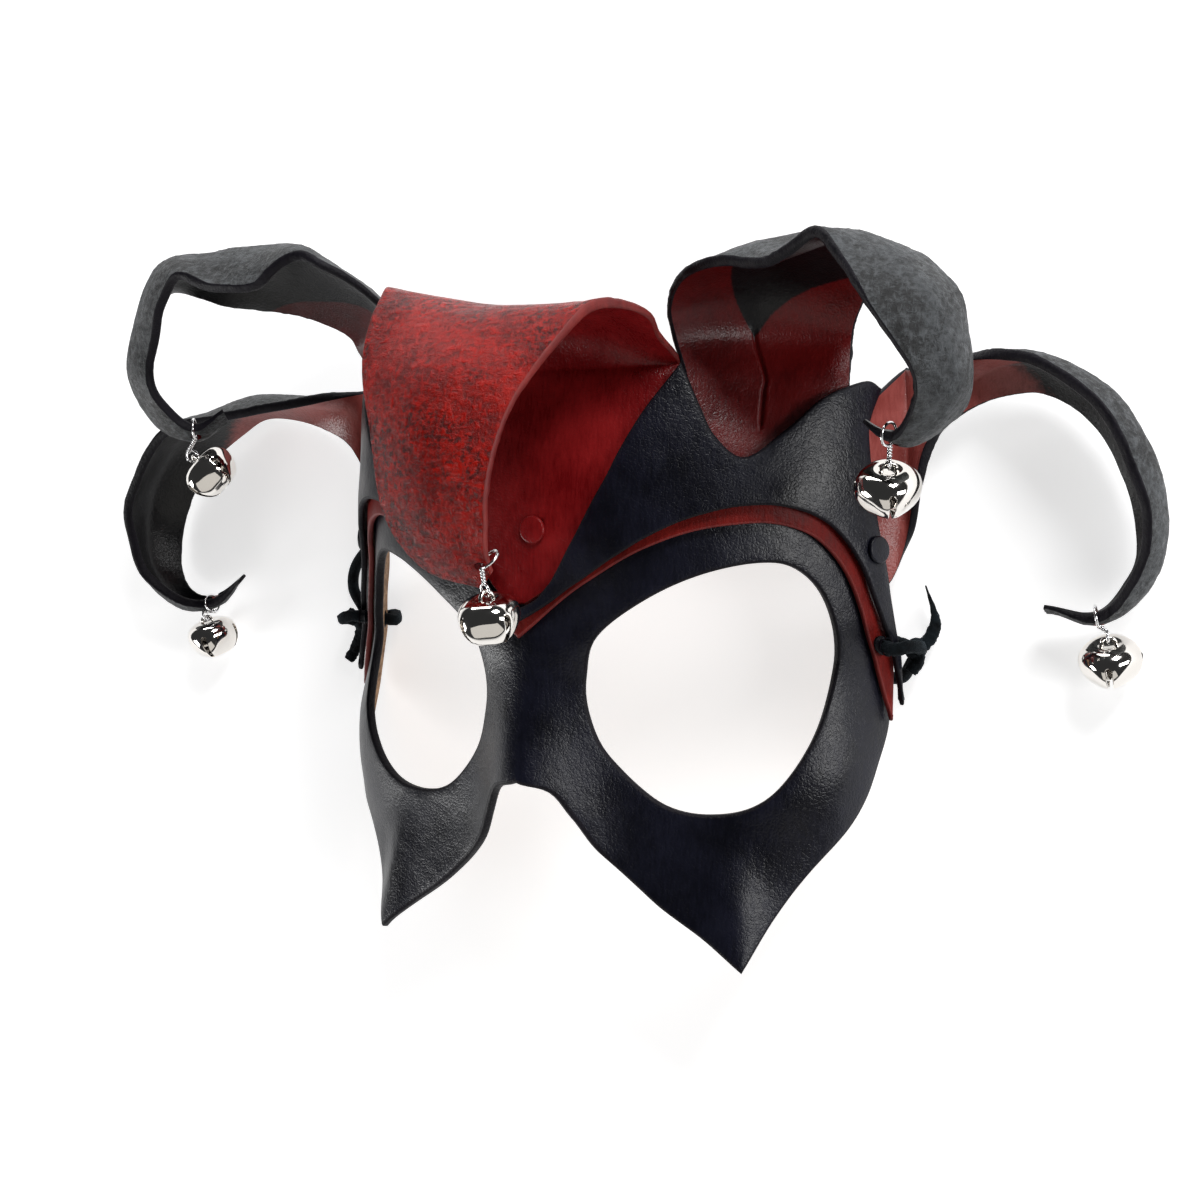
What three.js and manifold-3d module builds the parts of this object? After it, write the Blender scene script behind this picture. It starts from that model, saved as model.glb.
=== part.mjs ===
// A leather jester half mask with five curled horns, each ending in a jingle bell, lying on its back.
// Millimetres, +Z up. The face looks up, the forehead points to +Y and the floor is Z = 0.
import * as THREE from 'three';
import { mergeVertices } from 'three/addons/utils/BufferGeometryUtils.js';
import Module from 'manifold-3d';

const wasm = await Module();
wasm.setup();

// How the mask lies: the backs of the lower horns and their two bells touch the floor
const LIE_PITCH = THREE.MathUtils.degToRad(8.5);
const LIE_ROLL = THREE.MathUtils.degToRad(-0.9);

// The outer face of the eye mask: an upright half ellipse, seen from above, a little uneven by hand
const RIGHT_HALF = { cheek: 78.5, brow: 75, from: 0, to: 38 };
const LEFT_HALF = { cheek: 77, brow: 67.6, from: -20, to: 30 };
const FORM_DEPTH = 51;
const ARC_RADIUS = 66.5; // turns a length along the leather into an angle round the form
const NOSE_WIDTH = 14;
const CHEEKBONE = { along: 62, up: -26, length: 22, height: 20, rise: 5 };
const CHEEK_KEEL = { foot: [46.4, -69], head: [40, -34], rise: 2.5, width: 6 };

// Leather thicknesses and the air between two layers
const GAP = 0.3;
const LAYER_GAP = 0.6;
const MASK_THICKNESS = 2.4;
const BAND_THICKNESS = 1.5;
const ROOT_THICKNESS = 1.8;
const HORN_THICKNESS = 2.6;
const CROWN_THICKNESS = 1.6;
const BAND_LIFT = LAYER_GAP;
const CROWN_LIFT = BAND_LIFT + ROOT_THICKNESS + LAYER_GAP;

// Lengths and counts of the flat faces that curved leather is made of
const SHEET_GRID = 10;
const CURVE_STEP = 6.5;
const STRAP_ROWS = 22;
const STRAP_COLUMNS = 4;

// Rivets, bells and their wires
const RIVET_CAP_RADIUS = 3.3;
const RIVET_CAP_HEIGHT = 0.8;
const RIVET_CAP_BEVEL = 0.4;
const RIVET_FOOT_RADIUS = 2.6;
const RIVET_SHANK_RADIUS = 1.1;
const RIVET_HOLE_RADIUS = 1.6;
const PUNCH_REACH = 14;
const BELL_RADIUS = 7.5;
const BELL_TOP = 5.2;
const BELL_WALL = 0.6;
const BELL_SIDES = 10;
const SLOT_WIDTH = 1.3;
const SLOT_START = 2.2;
const SLOT_DEPTH = 5;
const LOOP_RADIUS = 1.6;
const LOOP_WIRE = 0.45;
const WIRE_RADIUS = 0.32;
const HORN_RING_RADIUS = 2.5;
const BELL_RING_RADIUS = 1.5;
const HOLE_TO_EDGE = 1.9;
const TIE_HOLE_RADIUS = 1.3;

// Suede laces, each knotted round the temple edge and left free inside the mask
const LACE_DIAMETER = 3.2;
const LACE_HOLE = [83.2, 4.5];
const LACE_HOLE_RADIUS = 2;
const KNOT_RADIUS = 2.8;
const KNOT = [8.6, -2.5, -5.5];
const COIL_RADIUS = 18;
const COIL_TURNS_ACROSS = 2;
const COIL_TURNS_HIGH = 2;
const FLOOR_GAP = 0.1;

const black = { color: 0x16161c, roughness: 0.55, metalness: 0 };
const red = { color: 0x7c1a1a, roughness: 0.5, metalness: 0 };
const nickel = { color: 0xcfcac4, roughness: 0.15, metalness: 1 };
const suede = { color: 0x15181c, roughness: 0.95, metalness: 0 };

const mix = THREE.MathUtils.lerp;
const ease = THREE.MathUtils.smoothstep;

// A smooth curve through a few [x, value] pairs
function smooth(pairs) {
  const slope = pairs.map((_, i) => {
    const [x0, v0] = pairs[Math.max(i - 1, 0)];
    const [x1, v1] = pairs[Math.min(i + 1, pairs.length - 1)];
    return (v1 - v0) / (x1 - x0);
  });
  return (x) => {
    const last = pairs.length - 2;
    const i = THREE.MathUtils.clamp(pairs.findIndex((p) => p[0] > x) - 1, 0, last);
    const k = x >= pairs[last + 1][0] ? last : i;
    const span = pairs[k + 1][0] - pairs[k][0];
    const u = THREE.MathUtils.clamp((x - pairs[k][0]) / span, 0, 1);
    const rise = (2 * u ** 3 - 3 * u * u + 1) * pairs[k][1] + (3 * u * u - 2 * u ** 3) * pairs[k + 1][1];
    return rise + span * ((u ** 3 - 2 * u * u + u) * slope[k] + (u ** 3 - u * u) * slope[k + 1]);
  };
}

// Depth of the centre line from chin side to forehead, and how far the nose stands out of it
const centreDepth = smooth([
  [-70, 7.5], [-50, 0.5], [-34, -3.7], [-15, -6.3], [0, -6],
  [12, -2.5], [30, -2.5], [50, -6], [70, -12], [100, -24],
]);
const noseRise = smooth([[-60, 17], [-40, 17], [-22, 15], [0, 8], [12, 2.5], [25, 0]]);

function keelRise(along, up) {
  const [x0, y0] = CHEEK_KEEL.foot;
  const [x1, y1] = CHEEK_KEEL.head;
  const share = (up - y0) / (y1 - y0);
  const aside = along - mix(x0, x1, share);
  return CHEEK_KEEL.rise * Math.exp(-((aside / CHEEK_KEEL.width) ** 2)) * (1 - ease(share, 0.3, 1));
}

// Point of the bare form: along is the length of leather from the centre line, up is the height
function formPoint(along, up) {
  const half = along < 0 ? LEFT_HALF : RIGHT_HALF;
  const halfWidth = mix(half.cheek, half.brow, ease(up, half.from, half.to));
  const angle = along / ARC_RADIUS;
  const x = halfWidth * Math.sin(angle);
  const nose = noseRise(up) * Math.exp(-((x / NOSE_WIDTH) ** 2));
  const z = -FORM_DEPTH * (1 - Math.cos(angle)) + centreDepth(up) + nose;
  const outward = new THREE.Vector2(FORM_DEPTH * Math.sin(angle), halfWidth * Math.cos(angle)).normalize();
  const side = (Math.abs(along) - CHEEKBONE.along) / CHEEKBONE.length;
  const height = (up - CHEEKBONE.up) / CHEEKBONE.height;
  const cheek = CHEEKBONE.rise * Math.exp(-(side ** 2) - height ** 2) + keelRise(Math.abs(along), up);
  return new THREE.Vector3(x + cheek * outward.x, up, z + cheek * outward.y);
}

const formStep = 0.5;
const alongForm = (along, up) => formPoint(along + formStep, up).sub(formPoint(along - formStep, up));
const upForm = (along, up) => formPoint(along, up + formStep).sub(formPoint(along, up - formStep));
const faceNormal = (along, up) => alongForm(along, up).cross(upForm(along, up)).normalize();

// The same point lifted off the form's surface
function faceForm(along, up, lift) {
  return formPoint(along, up).addScaledVector(faceNormal(along, up), lift);
}

// Geometry from shared points and triangles
function indexed(points, triangles) {
  const geometry = new THREE.BufferGeometry().setFromPoints(points);
  geometry.setIndex(triangles);
  geometry.computeVertexNormals();
  return geometry;
}

function toManifold(source) {
  const bare = source.clone();
  for (const name of Object.keys(bare.attributes)) if (name !== 'position') bare.deleteAttribute(name);
  const merged = mergeVertices(bare, 1e-4);
  return new wasm.Manifold(new wasm.Mesh({
    numProp: 3,
    vertProperties: new Float32Array(merged.attributes.position.array),
    triVerts: new Uint32Array(merged.index.array),
  }));
}

function fromManifold(solid) {
  const mesh = solid.getMesh();
  const geometry = new THREE.BufferGeometry();
  geometry.setAttribute('position', new THREE.BufferAttribute(new Float32Array(mesh.vertProperties), 3));
  geometry.setIndex(new THREE.BufferAttribute(new Uint32Array(mesh.triVerts), 1));
  geometry.computeVertexNormals();
  return geometry;
}

// Half outline made of smooth stretches that meet at corners, mirrored to the other side
function mirroredOutline(stretches) {
  const half = [];
  for (const stretch of stretches) {
    const curve = new THREE.SplineCurve(stretch.map((p) => new THREE.Vector2(...p)));
    const steps = Math.max(1, Math.round(curve.getLength() / CURVE_STEP));
    half.push(...curve.getSpacedPoints(steps).slice(0, -1));
  }
  const last = stretches.at(-1).at(-1);
  half.push(new THREE.Vector2(...last));
  const other = half.filter((p) => p.x > 0.01).map((p) => new THREE.Vector2(-p.x, p.y)).reverse();
  return [...half, ...other];
}

function smoothHole(points, count) {
  const loop = new THREE.CatmullRomCurve3(points.map(([x, y]) => new THREE.Vector3(x, y, 0)), true);
  return loop.getSpacedPoints(count).slice(0, -1).map((p) => new THREE.Vector2(p.x, p.y));
}

const bothSides = (loop) => [loop, loop.map((p) => new THREE.Vector2(-p.x, p.y)).reverse()];

// Even triangles in a flat outline: grid points are added inside, then edges flip to the shorter way
function evenTriangles(outline, holes) {
  const points = [...outline, ...holes.flat()];
  let triangles = THREE.ShapeUtils.triangulateShape(outline, holes);
  const rim = new Set();
  let start = 0;
  for (const loop of [outline, ...holes]) {
    loop.forEach((_, i) => rim.add(edgeKey(start + i, start + ((i + 1) % loop.length))));
    start += loop.length;
  }
  const rimPoints = [...points];
  const box = new THREE.Box2().setFromPoints(outline);
  for (let y = box.min.y + SHEET_GRID / 2, row = 0; y < box.max.y; y += SHEET_GRID * 0.87, row += 1) {
    for (let x = (row % 2) * SHEET_GRID * 0.5 - SHEET_GRID * 12; x < box.max.x; x += SHEET_GRID) {
      const point = new THREE.Vector2(x, y);
      if (rimPoints.some((p) => p.distanceTo(point) < SHEET_GRID * 0.55)) continue;
      const host = triangles.findIndex(([a, b, c]) => inside(point, points[a], points[b], points[c]));
      if (host < 0) continue;
      const [a, b, c] = triangles[host];
      const n = points.push(point) - 1;
      triangles.splice(host, 1, [a, b, n], [b, c, n], [c, a, n]);
    }
  }
  for (let changed = true; changed;) {
    changed = false;
    const owner = new Map();
    triangles.forEach((t, i) => {
      t.forEach((a, k) => owner.set(`${a},${t[(k + 1) % 3]}`, [i, t[(k + 2) % 3]]));
    });
    const touched = new Set();
    for (const [key, [i, c]] of owner) {
      const [a, b] = key.split(',').map(Number);
      const other = owner.get(`${b},${a}`);
      if (!other || rim.has(edgeKey(a, b)) || touched.has(i) || touched.has(other[0])) continue;
      const d = other[1];
      const [pa, pb, pc, pd] = [a, b, c, d].map((n) => points[n]);
      const open = corner(pa, pc, pb) + corner(pb, pd, pa) > Math.PI + 1e-6;
      if (!open || area(pa, pd, pc) < 1e-6 || area(pd, pb, pc) < 1e-6) continue;
      triangles[i] = [a, d, c];
      triangles[other[0]] = [d, b, c];
      touched.add(i).add(other[0]);
      changed = true;
    }
  }
  return { points, triangles };
}

const edgeKey = (a, b) => `${Math.min(a, b)}-${Math.max(a, b)}`;
const area = (a, b, c) => (b.x - a.x) * (c.y - a.y) - (b.y - a.y) * (c.x - a.x);
const inside = (p, a, b, c) => Math.min(area(a, b, p), area(b, c, p), area(c, a, p)) > 1e-6;

// Angle at the middle point of three
function corner(a, tip, b) {
  const [u, v] = [a.clone().sub(tip), b.clone().sub(tip)];
  return Math.acos(THREE.MathUtils.clamp(u.dot(v) / (u.length() * v.length()), -1, 1));
}

// A leather layer cut flat and moulded over the face form
function mouldedSheet(outline, holes, low, high) {
  const wound = THREE.ShapeUtils.isClockWise(outline) ? [...outline].reverse() : outline;
  const cuts = holes.map((loop) => (THREE.ShapeUtils.isClockWise(loop) ? loop : [...loop].reverse()));
  const flat = evenTriangles(wound, cuts);
  const count = flat.points.length;
  const points = [high, low].flatMap((lift) => flat.points.map((p) => faceForm(p.x, p.y, lift)));
  const triangles = [];
  const edges = new Set();
  for (const [a, b, c] of flat.triangles) {
    triangles.push(a, b, c, c + count, b + count, a + count);
    edges.add(`${a},${b}`).add(`${b},${c}`).add(`${c},${a}`);
  }
  for (const edge of edges) {
    const [a, b] = edge.split(',').map(Number);
    if (!edges.has(`${b},${a}`)) triangles.push(a, a + count, b + count, a, b + count, b);
  }
  return indexed(points, triangles);
}

// How much of a row's bow a point has, from none at both edges to all of it in the middle
const foldShare = (v) => 1 - Math.abs(2 * v - 1) ** 1.5;

// One row of a strap that still lies on the form, from its left to its right edge;
// bow is how far its middle stands back, like a gutter's fold
const onForm = (left, right, bow = 0) => {
  const at = (v) => {
    const lift = BAND_LIFT + ROOT_THICKNESS / 2 - bow * foldShare(v);
    return faceForm(mix(left[0], right[0], v), mix(left[1], right[1], v), lift);
  };
  return { left: at(0), right: at(1), at };
};

// One row that is free in the air
const free = (left, right, bow = 0) => ({
  left: new THREE.Vector3(...left),
  right: new THREE.Vector3(...right),
  bow,
});

// A tapering strap of leather through its rows, with the smooth side towards (right - left) x forward
class Strap {
  constructor(rows) {
    const middle = rows.map((row) => row.left.clone().lerp(row.right, 0.5));
    this.columns = Array.from({ length: STRAP_COLUMNS + 1 }, (_, j) => {
      const v = j / STRAP_COLUMNS;
      const points = rows.map((row, i) => {
        if (row.at) return row.at(v);
        const forward = middle[Math.min(i + 1, rows.length - 1)].clone().sub(middle[i - 1]);
        const back = forward.cross(row.right.clone().sub(row.left)).normalize();
        return row.left.clone().lerp(row.right, v).addScaledVector(back, row.bow * foldShare(v));
      });
      return new THREE.CatmullRomCurve3(points, false, 'catmullrom', 0.5);
    });
    this.rootShare = rows.filter((row) => row.at).length / (rows.length - 1);
  }

  point(u, j) {
    return this.columns[j].getPoint(u);
  }

  // A place near one edge, with the directions to that edge and off the smooth side
  nearEdge(u, side) {
    const edge = side > 0 ? STRAP_COLUMNS : 0;
    const inward = this.point(u, STRAP_COLUMNS - edge).sub(this.point(u, edge)).normalize();
    const at = this.point(u, edge).addScaledVector(inward, HOLE_TO_EDGE);
    return { at, outward: inward.negate(), normal: this.normal(u, STRAP_COLUMNS / 2) };
  }

  normal(u, j) {
    const step = 0.01;
    const across = this.point(u, Math.min(j + 1, STRAP_COLUMNS)).sub(this.point(u, Math.max(j - 1, 0)));
    const forward = this.point(Math.min(u + step, 1), j).sub(this.point(Math.max(u - step, 0), j));
    return across.cross(forward).normalize();
  }

  geometry() {
    const points = [];
    const triangles = [];
    const ring = 2 * (STRAP_COLUMNS + 1);
    for (let i = 0; i <= STRAP_ROWS; i += 1) {
      const u = i / STRAP_ROWS;
      const growth = ease(u, this.rootShare + 0.05, this.rootShare + 0.2);
      const half = mix(ROOT_THICKNESS, HORN_THICKNESS, growth) / 2;
      const front = [];
      const back = [];
      for (let j = 0; j <= STRAP_COLUMNS; j += 1) {
        const normal = this.normal(u, j);
        front.push(this.point(u, j).addScaledVector(normal, half));
        back.unshift(this.point(u, j).addScaledVector(normal, -half));
      }
      points.push(...front, ...back);
    }
    for (let i = 0; i < STRAP_ROWS; i += 1) {
      for (let k = 0; k < ring; k += 1) {
        const [a, b] = [i * ring + k, i * ring + ((k + 1) % ring)];
        triangles.push(a, b, a + ring, b, b + ring, a + ring);
      }
    }
    const end = STRAP_ROWS * ring;
    for (let j = 0; j < STRAP_COLUMNS; j += 1) {
      const [f0, f1, b0, b1] = [j, j + 1, ring - 1 - j, ring - 2 - j];
      triangles.push(b0, b1, f0, b1, f1, f0);
      triangles.push(end + f0, end + b1, end + b0, end + f0, end + f1, end + b1);
    }
    return indexed(points, triangles);
  }
}

function aligned(geometry, origin, up) {
  const turn = new THREE.Quaternion().setFromUnitVectors(new THREE.Vector3(0, 1, 0), up.clone().normalize());
  return geometry.applyQuaternion(turn).translate(origin.x, origin.y, origin.z);
}

const rod = (from, to, radius, sides = 6) => {
  const axis = to.clone().sub(from);
  const bar = new THREE.CylinderGeometry(radius, radius, axis.length(), sides);
  return aligned(bar, from.clone().lerp(to, 0.5), axis);
};

// A closed solid turned about +Y
function turned(profile, sides) {
  return new THREE.LatheGeometry(profile.map((p) => new THREE.Vector2(...p)), sides);
}

// A ring of wire in the plane of two directions
function wireRing(centre, radius, first, second, sides = 10) {
  const ring = new THREE.TorusGeometry(radius, WIRE_RADIUS, 3, sides);
  const z = first.clone().cross(second).normalize();
  const x = first.clone().normalize();
  ring.applyMatrix4(new THREE.Matrix4().makeBasis(x, z.clone().cross(x), z));
  return ring.translate(centre.x, centre.y, centre.z);
}

// A jingle bell about its own centre, loop up +Y: two domes with a seam, a cross of slots below
function bellSolid() {
  const dome = (profile) => toManifold(turned(profile, BELL_SIDES));
  const outer = dome([
    [0, -6.4], [4.6, -5.4], [6.8, -2.6], [BELL_RADIUS, 0], [6.7, 2.4], [4.2, 4.7], [0, BELL_TOP],
  ]);
  const w = BELL_WALL;
  const inner = dome([
    [0, -6.4 + w], [4.6 - w, -5.4 + w], [BELL_RADIUS - 2 * w, -0.8], [4.2 - w / 2, 4.7 - w],
    [0, BELL_TOP - w],
  ]);
  const slot = new THREE.BoxGeometry(2 * BELL_RADIUS, SLOT_DEPTH, SLOT_WIDTH);
  slot.translate(0, -SLOT_START - SLOT_DEPTH / 2, 0);
  const cross = toManifold(slot).add(toManifold(slot.clone().rotateY(Math.PI / 2)));
  const loop = new THREE.TorusGeometry(LOOP_RADIUS, LOOP_WIRE, 4, 8).translate(0, BELL_TOP + LOOP_WIRE, 0);
  return outer.add(toManifold(loop)).subtract(inner).subtract(cross);
}

const bell = bellSolid();

// Bell, ring through the horn's tip and twisted wire between them
function hangBell(strap, { hole, edge, place, lean, spin }) {
  const { at, outward, normal } = strap.nearEdge(hole, edge);
  const centre = new THREE.Vector3(...place);
  const ringCentre = at.clone().addScaledVector(outward, HORN_RING_RADIUS);
  const pull = centre.clone().sub(ringCentre).projectOnPlane(outward.clone().cross(normal)).normalize();
  const hangPoint = ringCentre.clone().addScaledVector(pull, HORN_RING_RADIUS);
  const axis = hangPoint.clone().sub(centre).normalize().add(new THREE.Vector3(...lean)).normalize();
  const up = new THREE.Vector3(0, 1, 0);
  const turn = new THREE.Quaternion().setFromUnitVectors(up, axis);
  turn.multiply(new THREE.Quaternion().setFromAxisAngle(up, THREE.MathUtils.degToRad(spin)));
  const bellGeometry = fromManifold(bell).applyQuaternion(turn).translate(centre.x, centre.y, centre.z);
  const loopSide = new THREE.Vector3(0, 0, 1).applyQuaternion(turn);
  const lowRing = centre.clone().addScaledVector(axis, BELL_TOP + LOOP_WIRE + GAP + BELL_RING_RADIUS);
  const stemStart = lowRing.clone().addScaledVector(axis, BELL_RING_RADIUS);
  const wire = toManifold(wireRing(ringCentre, HORN_RING_RADIUS, outward, normal))
    .add(toManifold(wireRing(lowRing, BELL_RING_RADIUS, axis, loopSide, 8)))
    .add(toManifold(rod(stemStart, hangPoint, 2 * WIRE_RADIUS, 5)));
  const tieHole = rod(
    at.clone().addScaledVector(normal, -HORN_THICKNESS),
    at.clone().addScaledVector(normal, HORN_THICKNESS),
    TIE_HOLE_RADIUS,
  );
  return { bell: bellGeometry, wire: fromManifold(wire), tieHole };
}

// A rivet with a cap on the outermost layer, a shank through the layers and a flat washer end inside
function rivet([along, up], topLift) {
  const base = topLift + GAP;
  const foot = -MASK_THICKNESS - GAP;
  const top = base + RIVET_CAP_HEIGHT;
  const body = turned([
    [0, foot - RIVET_CAP_HEIGHT], [RIVET_FOOT_RADIUS, foot - RIVET_CAP_HEIGHT], [RIVET_FOOT_RADIUS, foot],
    [RIVET_SHANK_RADIUS, foot], [RIVET_SHANK_RADIUS, base],
    [RIVET_CAP_RADIUS, base], [RIVET_CAP_RADIUS - RIVET_CAP_BEVEL, top], [0, top],
  ], 8);
  return aligned(body, faceForm(along, up, 0), faceNormal(along, up));
}

// Outlines, as lengths of leather from the centre line and heights on the form
const eyeHole = smoothHole([
  [12.6, 2], [16.5, 12.5], [30.5, 22.4], [45.6, 27.2], [60, 27], [69, 20.5], [71.8, 9.5],
  [66.8, -5], [59, -18], [49, -29.5], [38, -32.8], [26.3, -30], [16.6, -19], [12.8, -8],
], 28);
const CENTRE_RIVET = [4, 37.5];
const SIDE_RIVET = [86, 27];

const maskOutline = mirroredOutline([
  [[0, -21.8], [6.5, -24.6], [10.4, -31.9], [15.3, -41.9], [25.4, -52.9], [36.6, -61.3], [46.4, -69]],
  [[46.4, -69], [53.6, -58], [61, -48.6], [73.8, -36.5], [81, -25], [86.8, -15], [88.4, 0], [88, 16],
    [86, 34]],
  [[86, 34], [76, 46], [60, 50], [40, 49], [20, 47], [0, 46]],
]);

const bandOutline = mirroredOutline([
  [[0, 11.6], [9.9, 21.2], [18.8, 27.6], [27.6, 32.6], [38.2, 36.2], [49.2, 37.3], [58.5, 36.5],
    [68.7, 32.3], [76.3, 24.2], [79.6, 14.1], [80.2, 4], [82, -6.8], [84.8, -15.5]],
  [[84.8, -15.5], [87.4, -3], [87.4, 6]],
  [[87.4, 6], [84.3, 15], [81.2, 26], [74, 36.8], [62, 42.5], [50, 44.4], [39.5, 42.6], [31, 39.6],
    [22.5, 34.6], [14, 28.2], [6.6, 21.2], [0, 16.4]],
]);

const crownOutline = mirroredOutline([
  [[0, 15], [6.6, 19.8], [14.5, 26], [23.4, 32.2], [31.9, 37], [40.3, 39.9], [50.2, 41.3], [60.9, 40.1],
    [71.7, 35], [79.3, 26.2], [83, 14.9], [85.2, 4.5], [85.8, -3], [86.8, -12]],
  [[86.8, -12], [88, 0], [88.6, 15.4], [88.8, 27.5], [86.5, 40], [84, 50], [83.6, 58], [87, 64.5]],
  [[87, 64.5], [81, 66.6], [69.3, 64.2], [59.5, 57.9], [50, 52], [42.8, 57.5], [39.1, 64.4], [34.4, 74]],
  [[34.4, 74], [26.5, 62], [19.5, 48.1], [12.7, 34.5], [5.9, 22.5], [0, 18.4]],
]);

// A hole punched straight through the layers at a point of the form
function punch([along, up], radius) {
  const centre = faceForm(along, up, -PUNCH_REACH / 2);
  return rod(centre, faceForm(along, up, PUNCH_REACH), radius, 8);
}

function punched(geometry, holes) {
  return fromManifold(holes.reduce((body, hole) => body.subtract(toManifold(hole)), toManifold(geometry)));
}

const leftOf = ([along, up]) => [-along, up];
const laceHoles = [LACE_HOLE, leftOf(LACE_HOLE)].map((place) => punch(place, LACE_HOLE_RADIUS));
const sideRivetHoles = [SIDE_RIVET, leftOf(SIDE_RIVET)].map((place) => punch(place, RIVET_HOLE_RADIUS));
const centreRivetHole = punch(CENTRE_RIVET, RIVET_HOLE_RADIUS);

const eyeMask = punched(
  mouldedSheet(maskOutline, bothSides(eyeHole), -MASK_THICKNESS, 0),
  [...laceHoles, ...sideRivetHoles, centreRivetHole],
);
const browBand = punched(mouldedSheet(bandOutline, [], BAND_LIFT, BAND_LIFT + BAND_THICKNESS), laceHoles);
const crown = punched(
  mouldedSheet(crownOutline, [], CROWN_LIFT, CROWN_LIFT + CROWN_THICKNESS),
  [...laceHoles, ...sideRivetHoles],
);

// The five horns, row by row from the root to the tip
const centreHorn = new Strap([
  onForm([-1.5, 19.8], [1.5, 19.8]),
  onForm([-8, 26], [8, 26]),
  onForm([-19, 44], [19, 44]),
  onForm([-27.5, 60], [27.5, 60]),
  onForm([-33.2, 71], [33.2, 71]),
  onForm([-33.5, 75], [33.5, 75]),
  free([-34, 84, -10], [36, 82, -10.5], 1),
  free([-31, 92, -3], [37, 87, -4], -1),
  free([-27, 95.5, 4], [33, 90.5, 3], -3),
  free([-24, 93, 12], [29, 90, 10], -2),
  free([-23, 88, 18], [25, 84, 17], 1),
  free([-21, 78, 25], [20, 75, 26], 4),
  free([-17, 67, 30], [17, 66, 32], 4),
  free([-14, 52, 33], [15, 54, 36], 3),
  free([-10, 43, 34], [14, 46, 36], 2),
  free([-2, 35, 33], [13, 40, 35], 1),
  free([9, 31, 31], [13, 35, 33]),
]);
const upperRightHorn = new Strap([
  onForm([37, 47], [76, 45]),
  onForm([36.6, 54], [76.2, 52], 0.3),
  onForm([36.2, 61], [76.6, 58], 2),
  onForm([35.8, 68], [77, 65], 4),
  onForm([35.4, 72], [77, 69.5], 5),
  free([36, 81, -19], [69.8, 76, -44.5], 4.5),
  free([37, 89, -15.5], [71, 81, -44], 5.5),
  free([44, 96, -10], [74.5, 86.5, -41], 6),
  free([57, 99, -4], [79.5, 92, -34.5], 6),
  free([70.5, 97.8, 2], [86, 95, -26], 6),
  free([83, 103.5, 8], [95, 98, -14], 1),
  free([92, 95, 14], [104, 93, -8], 3),
  free([97, 88, 16], [110, 85, -4], 4),
  free([104, 75, 13], [110, 71, -4], 4),
  free([102, 67, 8], [105, 63, -5], 2),
  free([96, 61, 3], [98, 59, -4], 1),
  free([89, 64, 1], [89, 62, -3]),
]);
const upperLeftHorn = new Strap([
  onForm([-76, 45], [-37, 47]),
  onForm([-76.2, 52], [-36.6, 54], 0.3),
  onForm([-76.6, 58], [-36.2, 61], 2),
  onForm([-77, 65], [-35.8, 68], 4),
  onForm([-77, 69.5], [-35.4, 72], 5),
  free([-69, 77, -44], [-37, 83, -17.5], 4.5),
  free([-70, 82, -41], [-41, 94, -9], 5.5),
  free([-75, 86, -37], [-48, 102, -1], 6),
  free([-83, 90, -31], [-55, 105, 1], 8),
  free([-92, 92, -25], [-66, 98, 3], 11),
  free([-102, 95, -21], [-78, 98, 4], 9),
  free([-112, 96, -20], [-90, 101, 4], 5),
  free([-119, 85, -18], [-101, 87, 1], 4),
  free([-122, 74, -19], [-106, 77, -1], 4),
  free([-117, 63, -18], [-104, 66, -5], 3),
  free([-104, 58, -16], [-100, 61, -9], 1),
  free([-94, 62, -16], [-92, 65, -12]),
]);
const lowerRightHorn = new Strap([
  onForm([78.9, 50], [82.8, 28]),
  onForm([80.5, 58], [90, 18]),
  free([77.3, 67, -58], [82, 29, -46]),
  free([81, 68, -57], [85, 41, -45], 1),
  free([89, 70, -53], [88, 52, -47], 2),
  free([98, 72, -48], [94, 58, -51], 3),
  free([107, 73, -43], [102, 62, -54], 4),
  free([117, 71, -39], [113, 63, -55], 4),
  free([131, 61, -35], [125, 56, -54], 5),
  free([139, 45, -34], [133, 42, -52], 5),
  free([140, 31, -36], [136, 28, -50], 4),
  free([136, 21, -38], [133, 19, -49], 3),
  free([128, 13, -41], [127, 12, -47], 1),
  free([115, 14, -43], [115, 12, -46]),
]);
const lowerLeftHorn = new Strap([
  onForm([-82.8, 28], [-78.9, 50]),
  onForm([-90, 18], [-80.5, 58]),
  free([-74, 34, -50], [-73, 64, -57.6]),
  free([-79, 49, -51.5], [-76, 65, -50], 1),
  free([-88, 55, -53], [-81, 65, -43], 2),
  free([-101, 58.5, -53.5], [-89, 64, -36], 3),
  free([-112, 58, -53.5], [-97, 63, -32], 4),
  free([-123, 51, -52], [-109, 61, -29], 5),
  free([-133, 42, -50], [-127, 57, -28], 5),
  free([-140, 27, -48], [-142, 38, -29], 5),
  free([-141, 14, -46], [-143, 19, -31], 4),
  free([-134, 8, -43], [-135, 9, -35], 3),
  free([-124, 8, -41], [-124, 7, -38], 1),
  free([-113, 15, -40], [-113, 14, -38]),
]);

// A round lace along a route of points, flat at both ends
function laceTube(points, sides, steps, radius = LACE_DIAMETER / 2) {
  const route = new THREE.CatmullRomCurve3(points);
  const section = new THREE.Shape(new THREE.EllipseCurve(0, 0, radius, radius).getPoints(sides).slice(0, -1));
  return new THREE.ExtrudeGeometry(section, { steps, bevelEnabled: false, extrudePath: route });
}

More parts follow.
